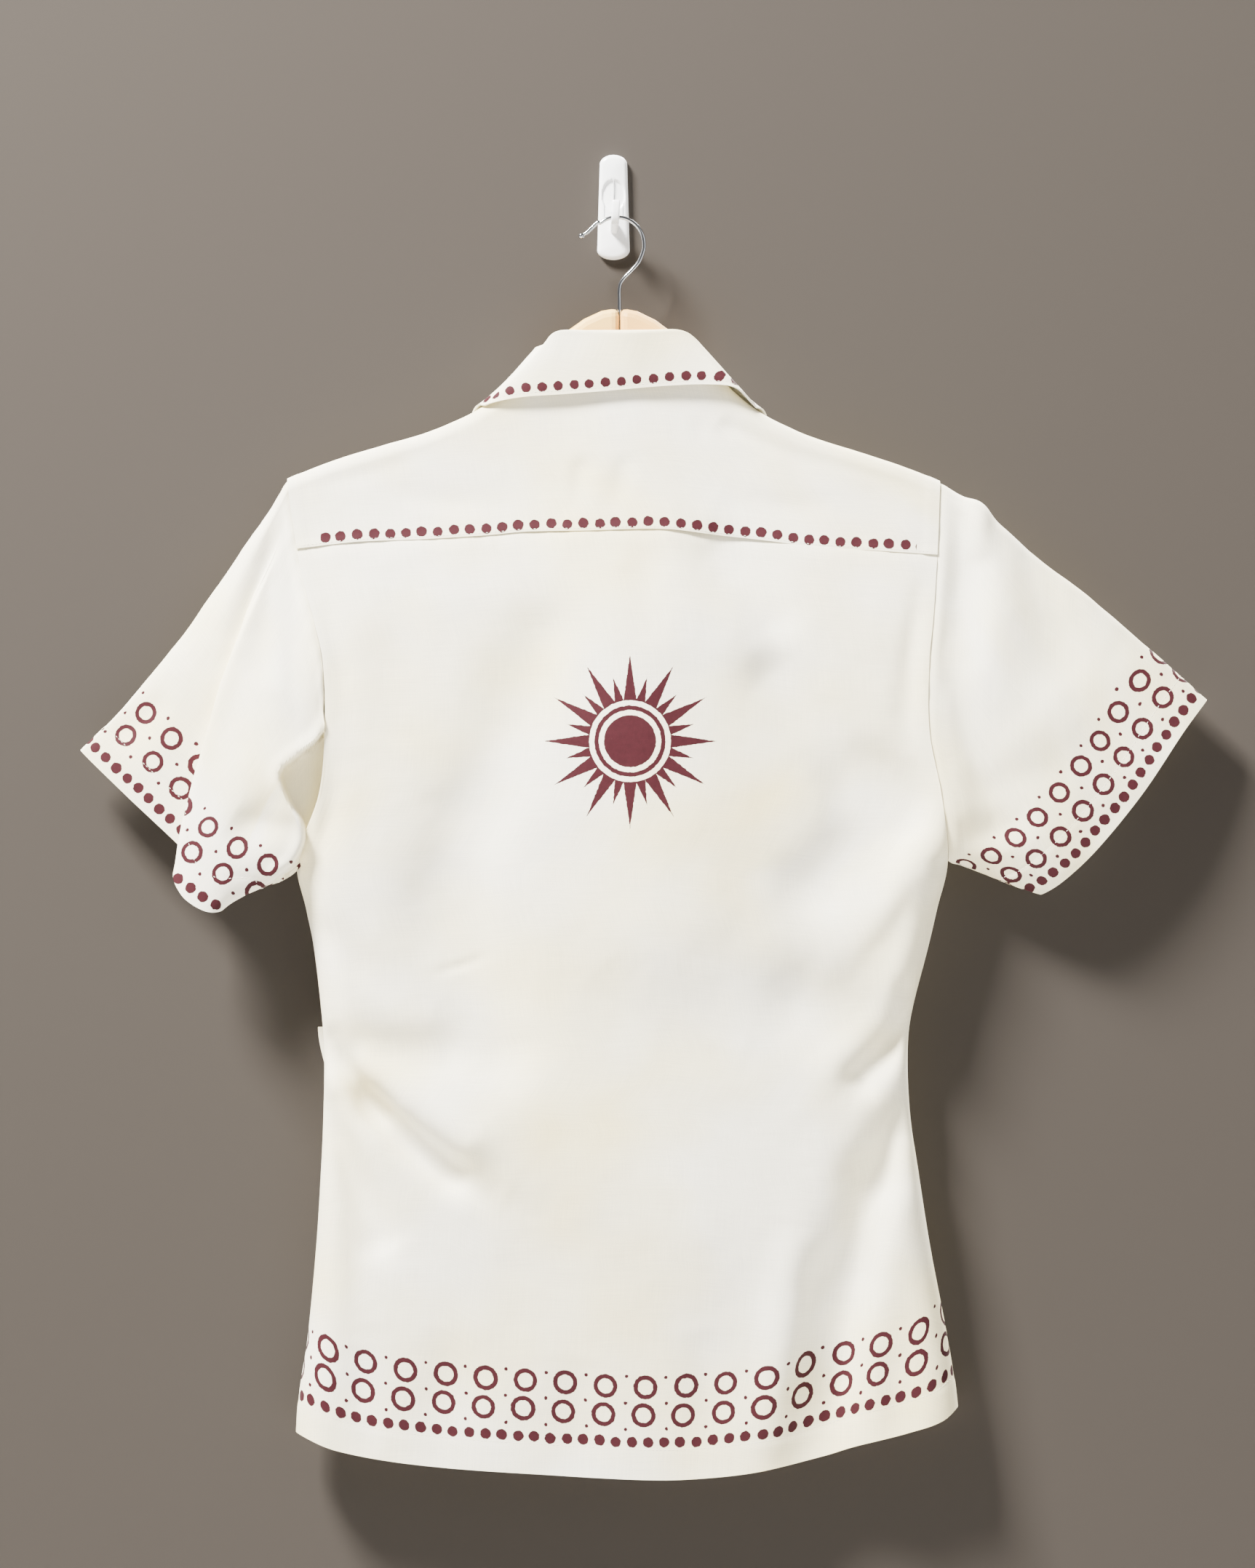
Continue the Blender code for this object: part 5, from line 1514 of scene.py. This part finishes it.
def make_collar(cloth):
    rows = len(COLLAR)
    down = lines_between((0, STAND_SHARE, ROLL_SHARE, 1), (9, 15, 25))
    a, b = np.meshgrid(np.linspace(0, 1, 231), down)
    at = a * (rows - 1)
    neck, roll, edge = (read_chain([getattr(row, part) for row in COLLAR], at)
                        for part in ("neck", "roll", "edge"))
    up = unit(roll - neck)
    out = unit((edge - roll) - up * ((edge - roll) * up).sum(-1, keepdims=True))
    centre = roll - up * COLLAR_ROLL + out * COLLAR_ROLL
    stand = mix(neck, centre - out * COLLAR_ROLL, np.clip(b / STAND_SHARE, 0, 1)[..., None])
    on_roll = (b - STAND_SHARE) / (ROLL_SHARE - STAND_SHARE)
    turn = (np.pi * np.clip(on_roll, 0, 1))[..., None]
    rolled = centre - out * COLLAR_ROLL * np.cos(turn) + up * COLLAR_ROLL * np.sin(turn)
    fall_share = np.clip((b - ROLL_SHARE) / (1 - ROLL_SHARE), 0, 1)
    fall = mix(centre + out * COLLAR_ROLL, edge, fall_share[..., None])
    stands, rolls = b < STAND_SHARE, b < ROLL_SHARE
    points = np.where(stands[..., None], stand, np.where(rolls[..., None], rolled, fall))
    lift = np.where(rolls, mix(STAND_LIFT, ROLL_LIFT, on_roll), mix(ROLL_LIFT, FALL_LIFT, fall_share))
    lift = np.where(stands, STAND_LIFT, lift)
    points = outside(points, lift)
    along, from_edge = edge_coordinates(points, points[-1])
    run = lengths(points, 1)
    to_end = np.minimum(run, run[:, -1:] - run)
    x, y, z = np.moveaxis(points, -1, 0)
    height = unevenness(x, z + y, 34, 4.4) * 0.5 * fall_share + unevenness(x, z + y, 11, 9.4) * 0.12
    stitch = np.minimum(from_edge, to_end)
    height += -0.28 * np.exp(-((stitch - COLLAR_STITCH) / 0.9) ** 2) * (fall_share > 0)
    points = displaced(points, -1, height)
    print_map = np.stack([along, from_edge], -1) * MM
    made = cloth_object("collar_cloth", points, -1, cloth.thickness * TO_MM + 0.5, print_map,
                        cotton_finish("cotton_collar", "collar"))
    keep(made, "cotton", "collar")
    ends = np.swapaxes(points[24:], 0, 1)
    lines = [line_at(points[24:, 4:-4], -1, from_edge[24:, 4:-4], COLLAR_STITCH)]
    for half in (slice(0, 20), slice(-20, None)):
        lines.append(line_at(ends[half, :-3], 1, to_end[24:].T[half, :-3], COLLAR_STITCH))
    sew("collar_stitches", lines)


def make_pocket(cloth):
    corner_x, corner_z = POCKET_CORNER
    a, b = np.meshgrid(np.linspace(0, 1, 60), np.linspace(0, 1, 64))
    outer = mix(corner_x, corner_x + POCKET_EDGE_TURN, ease(b * 3))
    x = mix(outer, POCKET_INNER_X, a)
    z = mix(mix(corner_z, POCKET_TOP_Z, ease(a * 6)), POCKET_TOP_Z - POCKET_DEEP, b)
    rest = np.maximum(x, edge_x(-1, z) + SIDE_ROUND)
    points = np.stack([x, layer_y(1, rest, z) + POCKET_LIFT, z], -1)
    down, over = lengths(points, 0), lengths(points, 1)
    rim = np.minimum(np.minimum(over, over[:, -1:] - over), down[-1:] - down)
    height = front_relief(-1, rest, z, cloth)
    height += unevenness(x, z, 30, 3.3) * 0.4 + unevenness(x, z, 10, 5.3) * 0.12
    height += 0.3 * ease((POCKET_HEM + 0.6 - down) / 1.2) - 0.4 * np.exp(-(down - POCKET_HEM) ** 2)
    height += -0.35 * np.exp(-((rim - POCKET_STITCH) / 0.9) ** 2) + 0.15 * ease((7 - rim) / 2)
    points = displaced(points, 1, height)
    made = cloth_object("pocket_cloth", points, 1, cloth.thickness * TO_MM + 0.3,
                        np.stack([over, down], -1) * MM, cotton_finish("cotton_plain"))
    keep(made, "cotton", "pocket_left")
    turned = np.swapaxes(points, 0, 1)
    across, below = over, down[-1:] - down
    lines = [line_at(turned, -1, across.T, POCKET_STITCH),
             line_at(turned, -1, (across[:, -1:] - across).T, POCKET_STITCH),
             line_at(points[:, 2:-2], 1, below[:, 2:-2], POCKET_STITCH),
             line_at(points[:, 2:-2], 1, down[:, 2:-2], POCKET_HEM)]
    sew("pocket_stitches", lines)


def make_buttons(fittings):
    """Four-hole buttons with a turned rim, each sewn on with crossed thread."""
    finish = smooth_finish("button_shell", fittings.button, 0.14, 0.3, coat=0.5)
    rim = [(0.0, 1.1), (2.9, 1.1), (3.3, 1.5), (4.1, 2.4), (4.8, 2.6), (5.3, 2.3), (5.6, 1.5), (5.3, 0.6),
           (4.4, 0.0), (0.0, 0.0)]
    for number in range(BUTTON_COUNT):
        z = BUTTON_TOP_Z - number * BUTTON_PITCH
        node = f"button_{number + 1}"
        back_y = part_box(node)[0][1] / MM
        bm = bmesh.new()
        verts = [bm.verts.new((radius, 0.0, high)) for radius, high in rim]
        for first, second in zip(verts, verts[1:]):
            bm.edges.new((first, second))
        bmesh.ops.spin(bm, geom=bm.verts[:] + bm.edges[:], cent=(0, 0, 0), axis=(0, 0, 1),
                       angle=2 * math.pi, steps=48, use_merge=True)
        bmesh.ops.remove_doubles(bm, verts=bm.verts, dist=0.001)
        bmesh.ops.recalc_face_normals(bm, faces=bm.faces)
        turned = bpy.data.meshes.new(node)
        bm.to_mesh(turned)
        bm.free()
        turned.materials.append(finish)
        turned.shade_smooth()
        made = link(bpy.data.objects.new(node + "_shell", turned))
        drill = bpy.data.meshes.new("holes")
        bm = bmesh.new()
        for corner in range(4):
            turn = math.radians(45 + 90 * corner)
            hole = bmesh.ops.create_cone(bm, cap_ends=True, segments=16, radius1=HOLE_RADIUS,
                                         radius2=HOLE_RADIUS, depth=8)
            place = (HOLE_OUT * math.cos(turn), HOLE_OUT * math.sin(turn), 1)
            bmesh.ops.translate(bm, verts=hole["verts"], vec=place)
        bm.to_mesh(drill)
        bm.free()
        cutter = link(bpy.data.objects.new("holes", drill))
        cut = made.modifiers.new("Holes", "BOOLEAN")
        cut.object = cutter
        cut.operation = "DIFFERENCE"
        apply_modifiers(made)
        bpy.data.objects.remove(cutter, do_unlink=True)
        turn_and_place(made, CENTRE_X, back_y, z)
        keep(made, "button", node)
        thread = cross_thread(node)
        turn_and_place(thread, CENTRE_X, back_y, z)
        keep(thread, "button")


def apply_modifiers(made):
    graph = bpy.context.evaluated_depsgraph_get()
    mesh = bpy.data.meshes.new_from_object(made.evaluated_get(graph))
    made.modifiers.clear()
    made.data = mesh


def turn_and_place(made, x, y, z):
    """Stands a flat piece up so that its top faces +Y, and puts its foot at a place."""
    for vert in made.data.vertices:
        flat_x, flat_y, high = vert.co
        vert.co = ((x + flat_x) * MM, (y + high) * MM, (z - flat_y) * MM)


def cross_thread(node):
    """Two crossed bars of thread over a button's four holes."""
    bm = bmesh.new()
    for turn in (45, 135):
        for lane in (-0.28, 0.0, 0.28):
            angle = math.radians(turn)
            rings = []
            for step in range(9):
                w = step / 8 * 2 - 1
                high = 1.15 + 0.42 * (1 - w ** 4) - 0.5 * abs(w) ** 8
                centre = Vector((1.5 * w, lane * (1 - 0.5 * abs(w)), high))
                ring = []
                for corner in range(6):
                    round_it = math.radians(60 * corner)
                    point = centre + Vector((0, 0.15 * math.cos(round_it), 0.15 * math.sin(round_it)))
                    turned_x = point.x * math.cos(angle) - point.y * math.sin(angle)
                    turned_y = point.x * math.sin(angle) + point.y * math.cos(angle)
                    ring.append(bm.verts.new((turned_x, turned_y, point.z)))
                rings.append(ring)
            for first, second in zip(rings, rings[1:]):
                for k in range(6):
                    bm.faces.new((first[k], first[(k + 1) % 6], second[(k + 1) % 6], second[k]))
            bm.faces.new(rings[0][::-1])
            bm.faces.new(rings[-1])
    bmesh.ops.recalc_face_normals(bm, faces=bm.faces)
    mesh = bpy.data.meshes.new(node + "_thread")
    bm.to_mesh(mesh)
    bm.free()
    mesh.materials.append(thread_finish())
    mesh.shade_smooth()
    return link(bpy.data.objects.new(node + "_thread", mesh))


def thread_finish():
    if "thread" in bpy.data.materials:
        return bpy.data.materials["thread"]
    made, w, shader = start_material("thread", 0.7)
    place = w.node("ShaderNodeTexCoord").outputs["Object"]
    tone = w.noise(place, 900.0, 2.0, 0.5)
    w.put(shader.inputs["Base Color"], w.blend(tone, (0.74, 0.69, 0.58, 1), (0.9, 0.86, 0.76, 1)))
    twist = w.noise(w.scaled(place, (4000, 4000, 1500)), 1.0, 1.0, 0.5)
    bump(w, shader, twist, 0.4, 0.0001)
    return made


def make_hanger(fittings):
    """The CAD halves keep their shape, and each gets its own tint of wood."""
    for node, tint in (("hanger_left", fittings.wood_left), ("hanger_right", fittings.wood_right)):
        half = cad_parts[node]
        finish = wood_finish("wood_" + node.split("_")[1], tint)
        for index in range(len(half.material_slots)):
            half.material_slots[index].material = finish


def make_wire(fittings):
    centre_x, centre_z = WIRE_ROUND
    start, stop = (math.radians(angle) for angle in WIRE_ARC)
    turns = [mix(start, stop, i / WIRE_ARC_STEPS) for i in range(WIRE_ARC_STEPS + 1)]
    arc = [(centre_x + WIRE_ROUND_RADIUS * math.cos(turn), centre_z + WIRE_ROUND_RADIUS * math.sin(turn))
           for turn in turns]
    route = [(x, MID_Y, z) for x, z in WIRE_TIP + arc + WIRE_NECK + [(WIRE_NECK[-1][0], WIRE_FOOT_Z)]]
    line = read_chain(route, np.linspace(0, len(route) - 1, 200))
    curve = bpy.data.curves.new("wire", "CURVE")
    curve.dimensions = "3D"
    curve.bevel_depth = WIRE_RADIUS * MM
    curve.bevel_resolution = 5
    curve.use_fill_caps = True
    curve.resolution_u = 1
    head = []
    for step in range(13):
        w = step / 12 * 2 - 1
        head.append((w, math.sqrt(max(1 - w * w, 0.0))))
    tip, toward = line[0], unit(line[4] - line[0])
    points = [(tip + toward * WIRE_TIP_SWELL * w, max(WIRE_TIP_SWELL * r / WIRE_RADIUS, 0.02))
              for w, r in head[:-2]]
    points += [(p, 1.0) for p in line[4:]]
    spline = curve.splines.new("POLY")
    spline.points.add(len(points) - 1)
    for point, (place, radius) in zip(spline.points, points):
        point.co = (*[c * MM for c in place], 1)
        point.radius = radius
    curve.materials.append(smooth_finish("chrome", fittings.wire, 0.07, 0.16, metallic=1.0, dust=0.1))
    made = link(bpy.data.objects.new("wire_hook", curve))
    keep(made, "wire", "hanger_wire")


def combine(made, tool, operation):
    """Cuts one closed mesh from another, or joins it on, and removes the tool."""
    step = made.modifiers.new("Combine", "BOOLEAN")
    step.object = tool
    step.operation = operation
    apply_modifiers(made)
    bpy.data.objects.remove(tool, do_unlink=True)


def grid_solid(name, rings, finish):
    """A closed mesh from rings of points, with its first and last ring closed by a face."""
    rings = np.array(rings)
    count, around = rings.shape[:2]
    index = np.arange(count * around).reshape(count, around)
    after = np.roll(index, -1, axis=1)
    faces = np.stack([index[:-1], after[:-1], after[1:], index[1:]], -1).reshape(-1, 4).tolist()
    faces += [index[0][::-1].tolist(), index[-1].tolist()]
    made = new_mesh(name, rings.reshape(-1, 3) * MM, faces, finish)
    bm = bmesh.new()
    bm.from_mesh(made.data)
    bmesh.ops.recalc_face_normals(bm, faces=bm.faces)
    bm.to_mesh(made.data)
    bm.free()
    return made


def make_wall_hook(fittings):
    """Crowned plate with a scoop and two slots, and the flat tongue that carries the wire."""
    finish = smooth_finish("hook_plastic", fittings.hook, 0.26, 0.4, coat=0.2)
    high, top_wide, low_wide, end = PLATE_HIGH / 2, PLATE_NARROW / 2, PLATE_WIDE / 2, PLATE_END_ROUND
    turns = np.radians(np.linspace(0, 180, 49))
    upper = np.stack([top_wide * np.cos(turns), high - end + end * np.sin(turns)], -1)
    lower = np.stack([-low_wide * np.cos(turns), end - high - end * np.sin(turns)], -1)
    left = mix(upper[-1], lower[0], np.linspace(0, 1, 62)[1:-1, None])
    right = mix(lower[-1], upper[0], np.linspace(0, 1, 62)[1:-1, None])
    outline = np.concatenate([upper, left, lower, right])
    spine = np.stack([outline[:, 0] * 0, np.clip(outline[:, 1], low_wide - high, high - top_wide)], -1)
    section = [(0.97, 0.0), (0.5, 0.0), (0.06, 0.0), (0.0, -0.5), (0.0, -1.6), (0.0, -2.6), (0.02, -3.3),
               (0.055, -3.95), (0.11, -4.5), (0.18, -4.95), (0.26, -5.25)]
    section += [(share, -5.25 - 0.75 * math.sin(math.pi / 2 * (share - 0.26) / 0.71))
                for share in np.linspace(0.26, 0.97, 15)[1:]]
    rings = []
    for share, y in section:
        x, z = mix(outline, spine, share).T
        scoop = np.hypot(x / SCOOP_HALF_WIDE, (z - SCOOP_TOP + SCOOP_HALF_HIGH) / SCOOP_HALF_HIGH)
        dish = ease((1 - scoop) / 0.16) * ease((z + 9.0) / 17.0)
        depth = np.full(len(x), y) + (SCOOP_DEEP * dish if y < -4.0 else 0.0)
        rings.append(np.stack([x, depth, z], -1))
    hook = grid_solid("hook_plate", rings, finish)
    for slot_x in SLOT_PLACES:
        corners = ((1, 1), (-1, 1), (-1, -1), (1, -1))
        box = [[(slot_x + a * SLOT_HALF_WIDE, y, SLOT_MIDDLE_Z + b * SLOT_HALF_HIGH) for a, b in corners]
               for y in (-8.0, -4.3)]
        combine(hook, grid_solid("slot", box, finish), "DIFFERENCE")
    route = read_chain([(TONGUE_X - 1.6 * step / (len(TONGUE) - 1), y, z, thick)
                        for step, (y, z, thick) in enumerate(TONGUE[::-1])][::-1],
                       np.linspace(0, len(TONGUE) - 1, 44))
    along = unit(np.gradient(route[:, :3], axis=0))
    across = np.array([1.0, 0.0, 0.0])
    up = np.cross(across, along)
    round_it = np.radians(np.arange(0, 360, 15))
    section_x = np.sign(np.cos(round_it)) * np.abs(np.cos(round_it)) ** 0.55
    section_z = np.sign(np.sin(round_it)) * np.abs(np.sin(round_it)) ** 0.55
    rings = []
    for k, row in enumerate(route):
        grow = quarter_round((len(route) - 1 - k) / 5 + 0.08)
        wide = TONGUE_WIDE / 2 * mix(0.75, 1.0, grow)
        rings.append(row[:3] + across * (section_x * wide)[:, None]
                     + up[k] * (section_z * row[3] / 2 * grow)[:, None])
    combine(hook, grid_solid("tongue", rings, finish), "UNION")
    hook.data.shade_smooth()
    hook.data.set_sharp_from_angle(angle=math.radians(40))
    keep(hook, "hook_plastic", "wall_hook")


class SUNSHIRT_OT_stage(bpy.types.Operator):
    """Camera, soft lights, pale floor and a wall that shows only from the front"""

    bl_idname = "sun_shirt.stage"
    bl_label = "Stage"

    def execute(self, context):
        make_stage(context.scene.shirt_stage)
        return {"FINISHED"}


class SUNSHIRT_OT_back(bpy.types.Operator):
    """Back panel, with its creases, hem, border and sun"""

    bl_idname = "sun_shirt.back"
    bl_label = "Back panel"

    def execute(self, context):
        make_back(context.scene.shirt_cloth)
        return {"FINISHED"}


class SUNSHIRT_OT_yoke(bpy.types.Operator):
    """Yoke over both shoulders, with its row of dots"""

    bl_idname = "sun_shirt.yoke"
    bl_label = "Yoke"

    def execute(self, context):
        make_yoke(context.scene.shirt_cloth)
        return {"FINISHED"}


class SUNSHIRT_OT_fronts(bpy.types.Operator):
    """Left front, and the right front underneath it"""

    bl_idname = "sun_shirt.fronts"
    bl_label = "Fronts"

    def execute(self, context):
        make_front("front_left", -1, context.scene.shirt_cloth)
        make_front("front_right", 1, context.scene.shirt_cloth)
        return {"FINISHED"}


class SUNSHIRT_OT_sleeves(bpy.types.Operator):
    """Both sleeves, the left one folded over itself, with their borders"""

    bl_idname = "sun_shirt.sleeves"
    bl_label = "Sleeves"

    def execute(self, context):
        cloth = context.scene.shirt_cloth
        make_sleeve("sleeve_left", -1, LEFT_SLEEVE, LEFT_SLEEVE_CREASES, cloth)
        make_sleeve("sleeve_right", 1, RIGHT_SLEEVE, RIGHT_SLEEVE_CREASES, cloth)
        return {"FINISHED"}


class SUNSHIRT_OT_collar(bpy.types.Operator):
    """One-piece collar: stand, roll and fall"""

    bl_idname = "sun_shirt.collar"
    bl_label = "Collar"

    def execute(self, context):
        make_collar(context.scene.shirt_cloth)
        return {"FINISHED"}


class SUNSHIRT_OT_pocket(bpy.types.Operator):
    """Patch pocket low on the left front"""

    bl_idname = "sun_shirt.pocket"
    bl_label = "Pocket"

    def execute(self, context):
        make_pocket(context.scene.shirt_cloth)
        return {"FINISHED"}


class SUNSHIRT_OT_buttons(bpy.types.Operator):
    """Six front buttons with their thread"""

    bl_idname = "sun_shirt.buttons"
    bl_label = "Buttons"

    def execute(self, context):
        make_buttons(context.scene.shirt_fittings)
        return {"FINISHED"}


class SUNSHIRT_OT_hanger(bpy.types.Operator):
    """Both wooden halves and the chrome wire of the hanger"""

    bl_idname = "sun_shirt.hanger"
    bl_label = "Hanger"

    def execute(self, context):
        make_hanger(context.scene.shirt_fittings)
        make_wire(context.scene.shirt_fittings)
        return {"FINISHED"}


class SUNSHIRT_OT_wall_hook(bpy.types.Operator):
    """Wall hook"""

    bl_idname = "sun_shirt.wall_hook"
    bl_label = "Wall hook"

    def execute(self, context):
        make_wall_hook(context.scene.shirt_fittings)
        return {"FINISHED"}


GROUPS = (
    ("shirt_cloth", ShirtCloth),
    ("shirt_print", ShirtPrint),
    ("shirt_fittings", ShirtFittings),
    ("shirt_stage", ShirtStage),
)
OPERATORS = (
    SUNSHIRT_OT_stage, SUNSHIRT_OT_back, SUNSHIRT_OT_yoke, SUNSHIRT_OT_fronts, SUNSHIRT_OT_sleeves,
    SUNSHIRT_OT_collar, SUNSHIRT_OT_pocket, SUNSHIRT_OT_buttons, SUNSHIRT_OT_hanger, SUNSHIRT_OT_wall_hook,
)


class SUNSHIRT_PT_sidebar(bpy.types.Panel):
    """Lists the shirt's pieces in the order in which they are made"""

    bl_idname = "SUNSHIRT_PT_sidebar"
    bl_label = "Sun Shirt"
    bl_space_type = "VIEW_3D"
    bl_region_type = "UI"
    bl_category = "Sun Shirt"

    def draw(self, context):
        for operator in OPERATORS:
            self.layout.operator(operator.bl_idname)
        for name, kind in GROUPS:
            box = self.layout.box()
            for label in kind.__annotations__:
                box.prop(getattr(context.scene, name), label)


def register():
    for _, kind in GROUPS:
        bpy.utils.register_class(kind)
    for kind in (*OPERATORS, SUNSHIRT_PT_sidebar):
        bpy.utils.register_class(kind)
    for name, kind in GROUPS:
        setattr(bpy.types.Scene, name, PointerProperty(type=kind))


def unregister():
    for name, _ in GROUPS:
        delattr(bpy.types.Scene, name)
    for kind in (SUNSHIRT_PT_sidebar, *reversed(OPERATORS)):
        bpy.utils.unregister_class(kind)
    for _, kind in reversed(GROUPS):
        bpy.utils.unregister_class(kind)


def main():
    register()
    shirt = bpy.ops.sun_shirt
    for step in (shirt.stage, shirt.back, shirt.yoke, shirt.fronts, shirt.sleeves, shirt.collar,
                 shirt.pocket, shirt.buttons, shirt.hanger, shirt.wall_hook):
        step()


if __name__ == "__main__":
    main()
